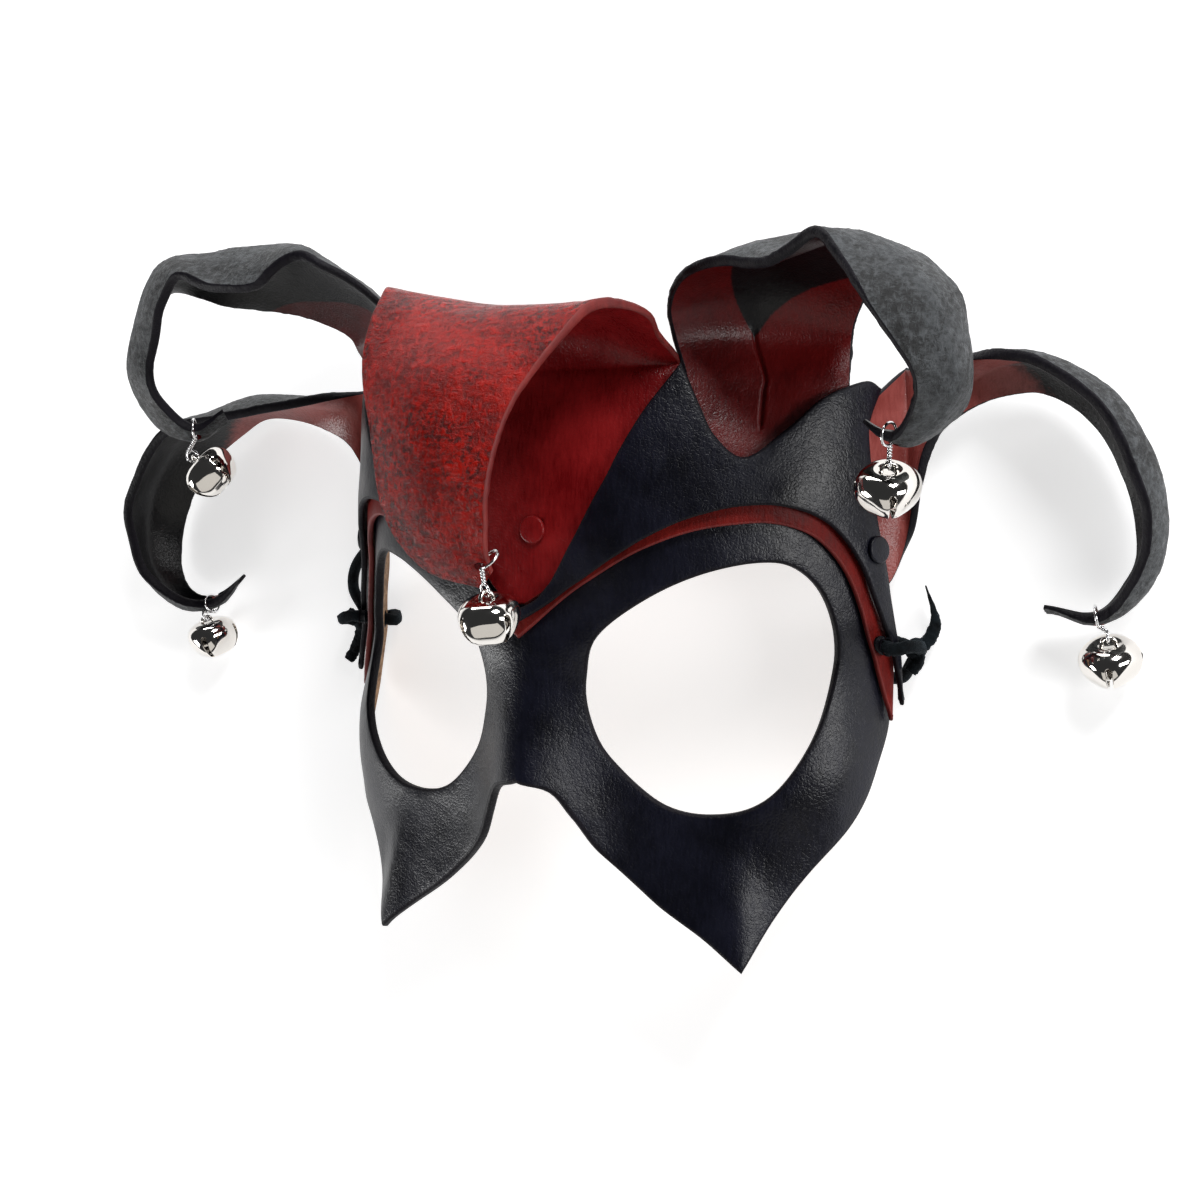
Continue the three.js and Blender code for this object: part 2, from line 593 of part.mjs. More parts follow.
// The knotted end of a lace: a loop through the lace hole and round the edge, a knot and two cut tails,
// as steps outward, up and forward from the middle of the hole
const TIE_LOOP = [[3.5, -1.5, -6.9], [-2, -0.5, -6.3], [9.5, 0, 2.5], [11, -1, -1.5]];
const RIGHT_TAILS = [
  [[11.4, -0.5, -7.1], [12.9, 4.5, -8.1], [10.4, 12.5, -9.1]],
  [[10.9, -4.5, -5], [13.9, -6.5, -4]],
];
const LEFT_TAILS = [
  [[12.4, -7.5, -4.6], [13.9, -13.5, -3.6], [12.4, -19.5, -1.6]],
  [[11.9, -1, -4.4], [15.4, 1, -3]],
];

// A point beside the right or left lace hole
function besideHole(side, [out, up, front]) {
  const hole = faceForm(side * LACE_HOLE[0], LACE_HOLE[1], 0);
  return hole.add(new THREE.Vector3(side * out, up, front));
}

function laceTie(side, tails) {
  const hole = (lift) => faceForm(side * LACE_HOLE[0], LACE_HOLE[1], lift);
  const knot = besideHole(side, KNOT);
  const [below, inside, outside, over] = TIE_LOOP.map((step) => besideHole(side, step));
  const loop = laceTube([knot, below, inside, hole(-5), hole(-2), hole(3), hole(7), outside, over, knot], 6, 12);
  const ball = new THREE.SphereGeometry(KNOT_RADIUS, 8, 5).translate(knot.x, knot.y, knot.z);
  let tie = toManifold(loop).add(toManifold(ball));
  for (const tail of tails) {
    const route = [knot, ...tail.map((step) => besideHole(side, step))];
    tie = tie.add(toManifold(laceTube(route, 6, 2 * tail.length + 1)));
  }
  return fromManifold(tie);
}

// The horns' leather and bells: share of the strap's length and edge of the tie hole, the bell's place,
// its lean and its turn about its own axis in degrees
const horns = {
  center: {
    strap: centreHorn,
    look: red,
    holes: [centreRivetHole],
    tie: { hole: 0.962, edge: 1, place: [12, 25, 34], lean: [0, 0, 0], spin: 20 },
  },
  upper_right: {
    strap: upperRightHorn,
    look: black,
    holes: [],
    tie: { hole: 0.945, edge: -1, place: [93, 49, -1], lean: [0.2, 0, 0], spin: 20 },
  },
  upper_left: {
    strap: upperLeftHorn,
    look: black,
    holes: [],
    tie: { hole: 0.94, edge: 1, place: [-100, 49, -14], lean: [-0.5, 0, 0], spin: 60 },
  },
  lower_right: {
    strap: lowerRightHorn,
    look: black,
    holes: sideRivetHoles,
    tie: { hole: 0.925, edge: -1, place: [130, 2, -44], lean: [0, 0, 0], spin: 20 },
  },
  lower_left: {
    strap: lowerLeftHorn,
    look: black,
    holes: sideRivetHoles,
    tie: { hole: 0.925, edge: 1, place: [-126, -3, -39], lean: [0, 0, 0], spin: 20 },
  },
};

// The free laces, in the coordinates of the whole part: from the knot under the edge to a coil on the
// floor, whose turns begin along its lower side; out is the way out of the knot
const RIGHT_LACE = {
  out: [-0.3, -0.9, -0.3],
  route: [[81, -19], [75.5, -18], [71, -12], [68.5, -3], [67, 6], [63.5, 14]],
  coil: [34, 38],
};
const LEFT_LACE = {
  out: [0, 0.97, -0.2],
  route: [[-78.6, -2], [-77.5, 4.5], [-71.5, 11], [-63, 16.3]],
  coil: [-34, 38],
};

const part = new THREE.Group();
const mask = new THREE.Group();
part.add(mask);

function addPiece(group, name, geometry, look) {
  const piece = new THREE.Mesh(geometry, new THREE.MeshStandardMaterial(look));
  piece.name = name;
  group.add(piece);
  return piece;
}

function addLace(name, side, { out, coil, route }) {
  const radius = LACE_DIAMETER / 2;
  const floorLevel = radius + FLOOR_GAP;
  const [x, y] = coil;
  const knot = mask.localToWorld(besideHole(side, KNOT));
  const start = knot.addScaledVector(new THREE.Vector3(...out).normalize(), KNOT_RADIUS + 2 * GAP);
  const level = y - COIL_RADIUS - radius * (COIL_TURNS_ACROSS - 1);
  const clear = COIL_RADIUS + radius * (COIL_TURNS_ACROSS + 1) + GAP;
  const last = x + side * Math.sqrt(clear ** 2 - (y - level) ** 2);
  const points = [...route, [last + side * LACE_DIAMETER * 3, level], [last, level]];
  const tube = laceTube([start, ...points.map((p) => new THREE.Vector3(...p, floorLevel))], 8, 9);
  addPiece(part, `lace_${name}`, tube, suede);
  const band = (COIL_TURNS_ACROSS * LACE_DIAMETER) / 2;
  const [inner, outer] = [COIL_RADIUS - band, COIL_RADIUS + band];
  const height = COIL_TURNS_HIGH * LACE_DIAMETER;
  const ring = turned([[outer, 0], [outer, height], [inner, height], [inner, 0], [outer, 0]], 20);
  const wound = addPiece(part, `lace_coil_${name}`, ring, suede);
  wound.rotation.x = Math.PI / 2;
  wound.position.set(x, y, FLOOR_GAP);
}

addPiece(mask, 'eye_mask', eyeMask, black);
addPiece(mask, 'brow_band', browBand, red);
addPiece(mask, 'crown', crown, black);
for (const [name, horn] of Object.entries(horns)) {
  const hung = hangBell(horn.strap, horn.tie);
  addPiece(mask, `horn_${name}`, punched(horn.strap.geometry(), [hung.tieHole, ...horn.holes]), horn.look);
  addPiece(mask, `wire_${name}`, hung.wire, nickel);
  addPiece(mask, `bell_${name}`, hung.bell, nickel);
}
addPiece(mask, 'rivet_center', rivet(CENTRE_RIVET, BAND_LIFT + ROOT_THICKNESS), red);
addPiece(mask, 'rivet_right', rivet(SIDE_RIVET, CROWN_LIFT + CROWN_THICKNESS), black);
addPiece(mask, 'rivet_left', rivet(leftOf(SIDE_RIVET), CROWN_LIFT + CROWN_THICKNESS), black);
addPiece(mask, 'tie_right', laceTie(1, RIGHT_TAILS), suede);
addPiece(mask, 'tie_left', laceTie(-1, LEFT_TAILS), suede);

mask.rotation.set(LIE_PITCH, LIE_ROLL, 0);
mask.updateMatrixWorld(true);
const lying = new THREE.Box3().setFromObject(mask, true);
const middle = lying.getCenter(new THREE.Vector3());
mask.position.set(-middle.x, -middle.y, -lying.min.z);
mask.updateMatrixWorld(true);

addLace('right', 1, RIGHT_LACE);
addLace('left', -1, LEFT_LACE);

export default part;
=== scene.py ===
import math

import bmesh
import bpy
from mathutils import Matrix, Quaternion, Vector, noise
from mathutils.geometry import delaunay_2d_cdt


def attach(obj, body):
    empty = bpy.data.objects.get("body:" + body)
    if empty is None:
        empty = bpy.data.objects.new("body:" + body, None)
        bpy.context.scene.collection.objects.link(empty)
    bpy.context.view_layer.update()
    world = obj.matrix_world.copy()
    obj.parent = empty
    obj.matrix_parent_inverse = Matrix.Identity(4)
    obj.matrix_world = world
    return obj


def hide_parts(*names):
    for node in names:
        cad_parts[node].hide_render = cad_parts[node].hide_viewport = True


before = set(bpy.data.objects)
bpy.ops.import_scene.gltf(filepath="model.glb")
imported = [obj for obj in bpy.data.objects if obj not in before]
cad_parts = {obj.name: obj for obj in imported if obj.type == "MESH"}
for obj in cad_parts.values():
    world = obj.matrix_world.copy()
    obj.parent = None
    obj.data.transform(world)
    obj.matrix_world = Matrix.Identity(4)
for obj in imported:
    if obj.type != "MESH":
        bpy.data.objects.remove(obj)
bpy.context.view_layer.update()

MM = 0.001

# How the mask lies, and where the middle of its nose bridge comes to rest on the floor
LIE_PITCH = math.radians(8.5)
LIE_ROLL = math.radians(-0.9)
REST_AT = Vector((1.91767, -19.91095, 48.32801)) * MM
LIE = Matrix.Translation(REST_AT) @ Matrix.Rotation(LIE_PITCH, 4, "X") @ Matrix.Rotation(LIE_ROLL, 4, "Y")

# The outer face of the eye mask, in millimetres: an upright half ellipse, seen from above
RIGHT_HALF = dict(cheek=78.5, brow=75, start=0, end=38)
LEFT_HALF = dict(cheek=77, brow=67.6, start=-20, end=30)
FORM_DEPTH = 51
ARC_RADIUS = 66.5
NOSE_WIDTH = 14
CHEEKBONE = dict(along=62, up=-26, length=22, height=20, rise=5)
CHEEK_KEEL = dict(foot=(46.4, -69), head=(40, -34), rise=2.5, width=6)

GAP = 0.3
LAYER_GAP = 0.6
MASK_THICKNESS = 2.4
BAND_THICKNESS = 1.5
ROOT_THICKNESS = 1.8
HORN_THICKNESS = 2.6
CROWN_THICKNESS = 1.6
BAND_LIFT = LAYER_GAP
CROWN_LIFT = BAND_LIFT + ROOT_THICKNESS + LAYER_GAP

LACE_DIAMETER = 3.2
LACE_HOLE = (83.2, 4.5)
LACE_HOLE_RADIUS = 2
KNOT_RADIUS = 2.8
KNOT = (8.6, -2.5, -5.5)
FLOOR_GAP = 0.1

BELL_RADIUS = 7.5
BELL_TOP = 4
BELL_WALL = 0.6
BELL_EDGE = 0.12
BELL_SIDES = 96
LOOP_RADIUS = 1.6
LOOP_WIRE = 0.45
WIRE_RADIUS = 0.32
HORN_RING_RADIUS = 2.5
BELL_RING_RADIUS = 1.5
HOLE_TO_EDGE = 1.9
TIE_HOLE_RADIUS = 1.3
BALL_RADIUS = 2
BALL_AT = (0.4, 0.3, -3.4)
RIVET_HOLE_RADIUS = 1.6

PUNCH_CORNERS = 20
SHEET_STEP = 1.5
STRAP_STEPS = 150
SHEET_EDGE_TURNS = (30, 60, 90)
STRAP_EDGE_TURNS = (35, 70, 110, 145)


def mix(a, b, t):
    return a + (b - a) * t


def ease(x, low, high):
    t = min(max((x - low) / (high - low), 0), 1)
    return t * t * (3 - 2 * t)


def smooth(pairs):
    """A smooth curve through a few (x, value) pairs."""
    count = len(pairs)
    slopes = []
    for i in range(count):
        (x0, v0), (x1, v1) = pairs[max(i - 1, 0)], pairs[min(i + 1, count - 1)]
        slopes.append((v1 - v0) / (x1 - x0))

    def value(x):
        k = 0
        while k < count - 2 and pairs[k + 1][0] <= x:
            k += 1
        span = pairs[k + 1][0] - pairs[k][0]
        u = min(max((x - pairs[k][0]) / span, 0), 1)
        rise = (2 * u**3 - 3 * u * u + 1) * pairs[k][1] + (3 * u * u - 2 * u**3) * pairs[k + 1][1]
        return rise + span * ((u**3 - 2 * u * u + u) * slopes[k] + (u**3 - u * u) * slopes[k + 1])

    return value


centre_depth = smooth([
    (-70, 7.5), (-50, 0.5), (-34, -3.7), (-15, -6.3), (0, -6),
    (12, -2.5), (30, -2.5), (50, -6), (70, -12), (100, -24),
])
nose_rise = smooth([(-60, 17), (-40, 17), (-22, 15), (0, 8), (12, 2.5), (25, 0)])


def keel_rise(along, up):
    (x0, y0), (x1, y1) = CHEEK_KEEL["foot"], CHEEK_KEEL["head"]
    share = (up - y0) / (y1 - y0)
    aside = along - mix(x0, x1, share)
    return CHEEK_KEEL["rise"] * math.exp(-((aside / CHEEK_KEEL["width"]) ** 2)) * (1 - ease(share, 0.3, 1))


def hand_wobble(along, up):
    """The unevenness of leather moulded by hand, the same for every layer."""
    slow = noise.noise(Vector((along / 19, up / 19, 2.7)))
    quick = noise.noise(Vector((along / 7, up / 7, 9.1)))
    return 0.45 * slow + 0.12 * quick


def form_point(along, up):
    half = LEFT_HALF if along < 0 else RIGHT_HALF
    half_width = mix(half["cheek"], half["brow"], ease(up, half["start"], half["end"]))
    angle = along / ARC_RADIUS
    x = half_width * math.sin(angle)
    nose = nose_rise(up) * math.exp(-((x / NOSE_WIDTH) ** 2))
    z = -FORM_DEPTH * (1 - math.cos(angle)) + centre_depth(up) + nose
    outward = Vector((FORM_DEPTH * math.sin(angle), half_width * math.cos(angle))).normalized()
    side = (abs(along) - CHEEKBONE["along"]) / CHEEKBONE["length"]
    height = (up - CHEEKBONE["up"]) / CHEEKBONE["height"]
    lift = CHEEKBONE["rise"] * math.exp(-(side**2) - height**2)
    lift += keel_rise(abs(along), up) + hand_wobble(along, up)
    return Vector((x + lift * outward.x, up, z + lift * outward.y))


def face_normal(along, up, step=0.5):
    across = form_point(along + step, up) - form_point(along - step, up)
    upward = form_point(along, up + step) - form_point(along, up - step)
    return across.cross(upward).normalized()


def face_form(along, up, lift):
    return form_point(along, up) + face_normal(along, up) * lift


def catmull(points, t, closed=False):
    """A point of the smooth curve through the points, at share t of its length in points."""
    count = len(points)
    if closed:
        place = t * count
        k = int(math.floor(place)) % count
        u = place - math.floor(place)
        p0, p1, p2, p3 = (points[(k + d) % count] for d in (-1, 0, 1, 2))
    else:
        place = min(max(t, 0), 1) * (count - 1)
        k = min(int(place), count - 2)
        u = place - k
        p1, p2 = points[k], points[k + 1]
        p0 = points[k - 1] if k > 0 else p1 * 2 - p2
        p3 = points[k + 2] if k < count - 2 else p2 * 2 - p1
    return p1 + 0.5 * u * (p2 - p0 + u * (2 * p0 - 5 * p1 + 4 * p2 - p3 + u * (3 * (p1 - p2) + p3 - p0)))


def spaced(points, step, closed=False):
    """Evenly spaced points along the smooth curve."""
    fine = [catmull(points, i / (40 * len(points)), closed) for i in range(40 * len(points) + 1)]
    lengths = [0.0]
    for a, b in zip(fine, fine[1:]):
        lengths.append(lengths[-1] + (b - a).length)
    count = max(2, round(lengths[-1] / step))
    result, k = [], 0
    for i in range(count + 1):
        target = lengths[-1] * i / count
        while k < len(lengths) - 2 and lengths[k + 1] < target:
            k += 1
        share = (target - lengths[k]) / max(lengths[k + 1] - lengths[k], 1e-9)
        result.append(fine[k].lerp(fine[k + 1], min(share, 1)))
    return result[:-1] if closed else result


# Pieces of mesh

def in_scene(name, data):
    piece = bpy.data.objects.new(name, data)
    bpy.context.scene.collection.objects.link(piece)
    return piece


def add_piece(name, points, faces, materials, face_materials=None, uv=None, smooth_faces=True):
    """An object in its final place, from points of the mask in millimetres."""
    mesh = bpy.data.meshes.new(name)
    mesh.from_pydata([LIE @ (p * MM) for p in points], [], faces)
    for material in materials:
        mesh.materials.append(material)
    if face_materials:
        mesh.polygons.foreach_set("material_index", face_materials)
    if uv:
        layer = mesh.uv_layers.new(name="leather")
        for loop in mesh.loops:
            layer.data[loop.index].uv = uv[loop.vertex_index]
    mesh.polygons.foreach_set("use_smooth", [smooth_faces] * len(mesh.polygons))
    mesh.update()
    mesh.validate()
    return in_scene(name, mesh)


def round_points(centre, first, second, radius, angles):
    return [centre + (first * math.cos(angle) + second * math.sin(angle)) * radius for angle in angles]


def full_turn(count):
    return [2 * math.pi * i / count for i in range(count)]


def between_rings(rings, size):
    """Quads between rings of points that follow one another."""
    return [(i * size + k, i * size + (k + 1) % size, (i + 1) * size + (k + 1) % size, (i + 1) * size + k)
            for i in range(rings - 1) for k in range(size)]


def settle(piece, node):
    """The piece rides on the mask and takes the place of its CAD node, which is hidden."""
    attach(piece, "root")
    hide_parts(node)
    return piece


# Flat cut leather, moulded over the face

def mirrored_outline(stretches, step=SHEET_STEP):
    half = []
    for stretch in stretches:
        half += spaced([Vector(p) for p in stretch], step)[:-1]
    half.append(Vector(stretches[-1][-1]))
    other = [Vector((-p.x, p.y)) for p in reversed(half) if p.x > 0.01]
    return half + other


def both_sides(loop):
    return [loop, [Vector((-p.x, p.y)) for p in reversed(loop)]]


def circle(along, up, radius):
    turns = full_turn(PUNCH_CORNERS)
    return [Vector((along + radius * math.cos(t), up + radius * math.sin(t))) for t in turns]


def loop_area(loop):
    return sum(a.x * b.y - b.x * a.y for a, b in zip(loop, loop[1:] + loop[:1])) / 2


def inset_loop(loop, inset):
    """The loop moved to its left by the inset, with sharp corners kept within reach."""
    moved = []
    for i, p in enumerate(loop):
        before = (p - loop[i - 1]).normalized()
        after = (loop[(i + 1) % len(loop)] - p).normalized()
        normal = Vector((-before.y - after.y, before.x + after.x))
        length = max(normal.length / 2, 0.55)
        moved.append(p + normal.normalized() * inset / length)
    return moved


def inside_all(point, outline, holes):
    def within(loop):
        crossed = False
        for a, b in zip(loop, loop[1:] + loop[:1]):
            if (a.y > point.y) != (b.y > point.y):
                if point.x < a.x + (b.x - a.x) * (point.y - a.y) / (b.y - a.y):
                    crossed = not crossed
        return crossed
    return within(outline) and not any(within(hole) for hole in holes)


def moulded_sheet(name, outline, holes, low, high, materials, rounding):
    """Materials are the grain side's, the flesh side's and the cut edge's."""
    loops = [outline if loop_area(outline) > 0 else outline[::-1]]
    loops += [hole if loop_area(hole) < 0 else hole[::-1] for hole in holes]
    inner = [inset_loop(loop, rounding) for loop in loops]
    flat = [p for loop in inner for p in loop]
    edges, start = [], 0
    for loop in inner:
        edges += [(start + i, start + (i + 1) % len(loop)) for i in range(len(loop))]
        start += len(loop)
    deeper = [inset_loop(loop, rounding + SHEET_STEP * 0.6) for loop in loops]
    xs, ys = [p.x for p in inner[0]], [p.y for p in inner[0]]
    row, y = 0, min(ys)
    while y < max(ys):
        x = min(xs) + (row % 2) * SHEET_STEP / 2
        while x < max(xs):
            point = Vector((x, y))
            if inside_all(point, deeper[0], deeper[1:]):
                flat.append(point)
            x += SHEET_STEP
        y += SHEET_STEP * 0.87
        row += 1
    found, _, triangles, origins, _, _ = delaunay_2d_cdt(flat, edges, [], 2, 1e-6)
    index = {source: i for i, sources in enumerate(origins) for source in sources}

    def kept(triangle):
        middle = (found[triangle[0]] + found[triangle[1]] + found[triangle[2]]) / 3
        return inside_all(middle, inner[0], inner[1:])

    triangles = [triangle for triangle in triangles if kept(triangle)]
    count = len(found)
    points = [face_form(p.x, p.y, level) for level in (high, low) for p in found]
    uv = [(p.x, p.y) for p in found] * 2
    faces = [tuple(t) for t in triangles] + [tuple(i + count for i in reversed(t)) for t in triangles]
    kinds = [0] * len(triangles) + [1] * len(triangles)
    start = 0
    down = [(turn, high, -1) for turn in SHEET_EDGE_TURNS]
    under = [(turn, low, 1) for turn in reversed(SHEET_EDGE_TURNS)]
    for loop in loops:
        size = len(loop)
        rings = [[index[start + i] for i in range(size)]]
        for turn, level, way in down + under:
            inset = rounding * (1 - math.sin(math.radians(turn)))
            drop = rounding * (1 - math.cos(math.radians(turn)))
            ring = inset_loop(loop, inset)
            rings.append(range(len(points), len(points) + size))
            points += [face_form(p.x, p.y, level + way * drop) for p in ring]
            uv += [(p.x, p.y) for p in ring]
        rings.append([index[start + i] + count for i in range(size)])
        for upper, lower in zip(rings, rings[1:]):
            for i in range(size):
                j = (i + 1) % size
                faces.append((upper[i], lower[i], lower[j], upper[j]))
                kinds.append(2)
        start += size
    return add_piece(name, points, faces, materials, kinds, uv)


EYE_HOLE = [Vector(p) for p in (
    (12.6, 2), (16.5, 12.5), (30.5, 22.4), (45.6, 27.2), (60, 27), (69, 20.5), (71.8, 9.5),
    (66.8, -5), (59, -18), (49, -29.5), (38, -32.8), (26.3, -30), (16.6, -19), (12.8, -8),
)]
CENTRE_RIVET = (4, 37.5)
SIDE_RIVET = (86, 27)
MASK_OUTLINE = [
    [(0, -21.8), (6.5, -24.6), (10.4, -31.9), (15.3, -41.9), (25.4, -52.9), (36.6, -61.3), (46.4, -69)],
    [(46.4, -69), (53.6, -58), (61, -48.6), (73.8, -36.5), (81, -25), (86.8, -15), (88.4, 0), (88, 16),
     (86, 34)],
    [(86, 34), (76, 46), (60, 50), (40, 49), (20, 47), (0, 46)],
]
BAND_OUTLINE = [
    [(0, 11.6), (9.9, 21.2), (18.8, 27.6), (27.6, 32.6), (38.2, 36.2), (49.2, 37.3), (58.5, 36.5),
     (68.7, 32.3), (76.3, 24.2), (79.6, 14.1), (80.2, 4), (82, -6.8), (84.8, -15.5)],
    [(84.8, -15.5), (87.4, -3), (87.4, 6)],
    [(87.4, 6), (84.3, 15), (81.2, 26), (74, 36.8), (62, 42.5), (50, 44.4), (39.5, 42.6), (31, 39.6),
     (22.5, 34.6), (14, 28.2), (6.6, 21.2), (0, 16.4)],
]
CROWN_OUTLINE = [
    [(0, 15), (6.6, 19.8), (14.5, 26), (23.4, 32.2), (31.9, 37), (40.3, 39.9), (50.2, 41.3), (60.9, 40.1),
     (71.7, 35), (79.3, 26.2), (83, 14.9), (85.2, 4.5), (85.8, -3), (86.8, -12)],
    [(86.8, -12), (88, 0), (88.6, 15.4), (88.8, 27.5), (86.5, 40), (84, 50), (83.6, 58), (87, 64.5)],
    [(87, 64.5), (81, 66.6), (69.3, 64.2), (59.5, 57.9), (50, 52), (42.8, 57.5), (39.1, 64.4), (34.4, 74)],
    [(34.4, 74), (26.5, 62), (19.5, 48.1), (12.7, 34.5), (5.9, 22.5), (0, 18.4)],
]


def left_of(place):
    return (-place[0], place[1])


LACE_HOLES = (LACE_HOLE, left_of(LACE_HOLE))
SIDE_RIVETS = (SIDE_RIVET, left_of(SIDE_RIVET))


def round_holes(places, radius):
    return [circle(*place, radius) for place in places]


def make_eye_mask(*look):
    holes = both_sides(spaced(EYE_HOLE, SHEET_STEP, closed=True))
    holes += round_holes(LACE_HOLES, LACE_HOLE_RADIUS)
    holes += round_holes((*SIDE_RIVETS, CENTRE_RIVET), RIVET_HOLE_RADIUS)
    outline = mirrored_outline(MASK_OUTLINE)
    piece = moulded_sheet("eye_mask_leather", outline, holes, -MASK_THICKNESS, 0, look, 0.7)
    settle(piece, "eye_mask")


def make_brow_band(*look):
    holes = round_holes(LACE_HOLES, LACE_HOLE_RADIUS)
    outline = mirrored_outline(BAND_OUTLINE, 1.2)
    top = BAND_LIFT + BAND_THICKNESS
    piece = moulded_sheet("brow_band_leather", outline, holes, BAND_LIFT, top, look, 0.5)
    settle(piece, "brow_band")


def make_crown(*look):
    holes = round_holes(LACE_HOLES, LACE_HOLE_RADIUS) + round_holes(SIDE_RIVETS, RIVET_HOLE_RADIUS)
    outline = mirrored_outline(CROWN_OUTLINE)
    top = CROWN_LIFT + CROWN_THICKNESS
    piece = moulded_sheet("crown_leather", outline, holes, CROWN_LIFT, top, look, 0.55)
    settle(piece, "crown")


# The curled horns

def fold_share(v):
    """How much of a row's bow a point has, from none at both edges to all of it in the middle."""
    return 1 - abs(2 * v - 1) ** 1.5


def on_form(left, right, bow=0):
    lift = BAND_LIFT + ROOT_THICKNESS / 2
    ends = dict(left=face_form(*left, lift), right=face_form(*right, lift))
    return dict(form=(left, right), lift=lift, bow=bow, **ends)


def free(left, right, bow=0):
    return dict(left=Vector(left), right=Vector(right), bow=bow)


class Strap:
    """A tapering strap of leather through its rows, smooth side towards (right - left) x forward."""

    def __init__(self, rows):
        self.rows = rows
        self.middle = [row["left"].lerp(row["right"], 0.5) for row in rows]
        self.root_share = sum("form" in row for row in rows) / (len(rows) - 1)
        self.known = {}

    def column(self, v):
        if v not in self.known:
            points = []
            for i, row in enumerate(self.rows):
                back_by = row["bow"] * fold_share(v)
                if "form" in row:
                    left, right = row["form"]
                    place = (mix(left[0], right[0], v), mix(left[1], right[1], v))
                    points.append(face_form(*place, row["lift"] - back_by))
                    continue
                ahead = self.middle[min(i + 1, len(self.rows) - 1)] - self.middle[i - 1]
                back = ahead.cross(row["right"] - row["left"]).normalized()
                points.append(row["left"].lerp(row["right"], v) + back * back_by)
            self.known[v] = points
        return self.known[v]

    def point(self, u, v):
        return catmull(self.column(v), u)

    def normal(self, u, v):
        across = self.point(u, min(v + 0.05, 1)) - self.point(u, max(v - 0.05, 0))
        forward = self.point(min(u + 0.01, 1), v) - self.point(max(u - 0.01, 0), v)
        return across.cross(forward).normalized()

    def near_edge(self, u, side):
        edge = 1 if side > 0 else 0
        inward = (self.point(u, 1 - edge) - self.point(u, edge)).normalized()
        return self.point(u, edge) + inward * HOLE_TO_EDGE, -inward, self.normal(u, 0.5)


STRAP_COLUMNS = 22
TIP_START = 0.93
TIP_SKIVING = 0.65
EDGE_ROUNDING = 0.5
MUCH_FRAYED = 1.6
LITTLE_FRAYED = 0.6
CREASE_WIDTH = 0.012
CREASE_FADE = 0.03


def strap_columns(count, crease):
    """Shares across the strap, closer together at both edges and beside a crease."""
    shares = {round(0.5 - 0.5 * math.cos(math.pi * i / count), 4) for i in range(count + 1)}
    if crease:
        low, high = min(crease[:2]) - 0.03, max(crease[:2]) + 0.03
        shares = {v for v in shares if not low < v < high}
        shares |= {round(mix(low, high, i / 12), 4) for i in range(13)}
    return sorted(shares)


def strap_piece(name, strap, materials, holes, crease, ripple, seed):
    """Crease is (place across at its start, at its end, start, end, depth) of a groove on the smooth side."""
    shares = strap_columns(STRAP_COLUMNS, crease)
    points, uv = [], []
    frayed = MUCH_FRAYED if ripple > 1 else LITTLE_FRAYED
    ring = 2 * len(shares) + 2 * len(STRAP_EDGE_TURNS)
    for i in range(STRAP_STEPS + 1):
        u = i / STRAP_STEPS
        growth = ease(u, strap.root_share + 0.05, strap.root_share + 0.2)
        skived = 1 - TIP_SKIVING * ease(u, TIP_START, 1)
        half = mix(ROOT_THICKNESS, HORN_THICKNESS, growth) / 2 * skived
        free_share = ease(u, strap.root_share, strap.root_share + 0.12)
        front, back = [], []
        normals = [strap.normal(u, v) for v in shares]
        bases = []
        for v, normal in zip(shares, normals):
            base = strap.point(u, v)
            wave = noise.noise(base / 11 + Vector((seed, 0, 0)))
            near = abs(2 * v - 1) ** 3
            base = base + normal * (free_share * 0.3 + ripple * near * ease(u, 0.42, 0.5)) * wave
            bases.append(base)
            rough = 0.16 * noise.noise(base / 1.3) + 0.1 * noise.noise(base / 0.5)
            press = 0
            if crease:
                across = mix(crease[0], crease[1], (u - crease[2]) / (crease[3] - crease[2]))
                inside = ease(u, crease[2], crease[2] + CREASE_FADE)
                inside *= 1 - ease(u, crease[3] - CREASE_FADE, crease[3])
                press = crease[4] * inside * math.exp(-(((v - across) / CREASE_WIDTH) ** 2))
            front.append((base + normal * (half - press), (v, u)))
            back.append((base - normal * (half + free_share * rough), (v, u)))

        def rim(k, outward):
            made = []
            for turn in STRAP_EDGE_TURNS:
                angle = math.radians(turn)
                reach = EDGE_ROUNDING * math.sin(angle) * skived
                ragged = 1 + 0.25 * noise.noise(bases[k] / 0.8 + Vector((turn, 0, 0)))
                ragged += frayed * max(noise.noise(bases[k] / 2.2 + Vector((0, 9, 0))), 0)
                side = normals[k] * half * math.cos(angle)
                made.append((bases[k] + side + outward * reach * ragged, (shares[k], u)))
            return made

        right_out = (bases[-1] - bases[-2]).normalized()
        left_out = (bases[0] - bases[1]).normalized()
        section = front + rim(-1, right_out) + back[::-1] + rim(0, left_out)[::-1]
        points += [p for p, _ in section]
        uv += [t for _, t in section]
    count = len(shares)
    edge = [2] * (len(STRAP_EDGE_TURNS) + 1)
    around = [0] * (count - 1) + edge + [1] * (count - 1) + edge
    faces = between_rings(STRAP_STEPS + 1, ring)
    kinds = around * STRAP_STEPS
    for base, forward in ((0, False), (STRAP_STEPS * ring, True)):
        loop = [base + k for k in range(ring)]
        middle = len(points)
        points.append(sum((points[k] for k in loop), Vector()) / ring)
        uv.append((0.5, 1.0 if forward else 0.0))
        for k in range(ring):
            a, b = loop[k], loop[(k + 1) % ring]
            faces.append((a, middle, b) if not forward else (a, b, middle))
            kinds.append(2)
    piece = add_piece(name, points, faces, materials, kinds, uv)
    # leather that touches the floor lies flat on it
    for vertex in piece.data.vertices:
        vertex.co.z = max(vertex.co.z, 0.0)
    for start, end, radius in holes:
        cut_away(piece, [rod_mesh("punch", start, end, radius, 16)], "MANIFOLD")
    return piece


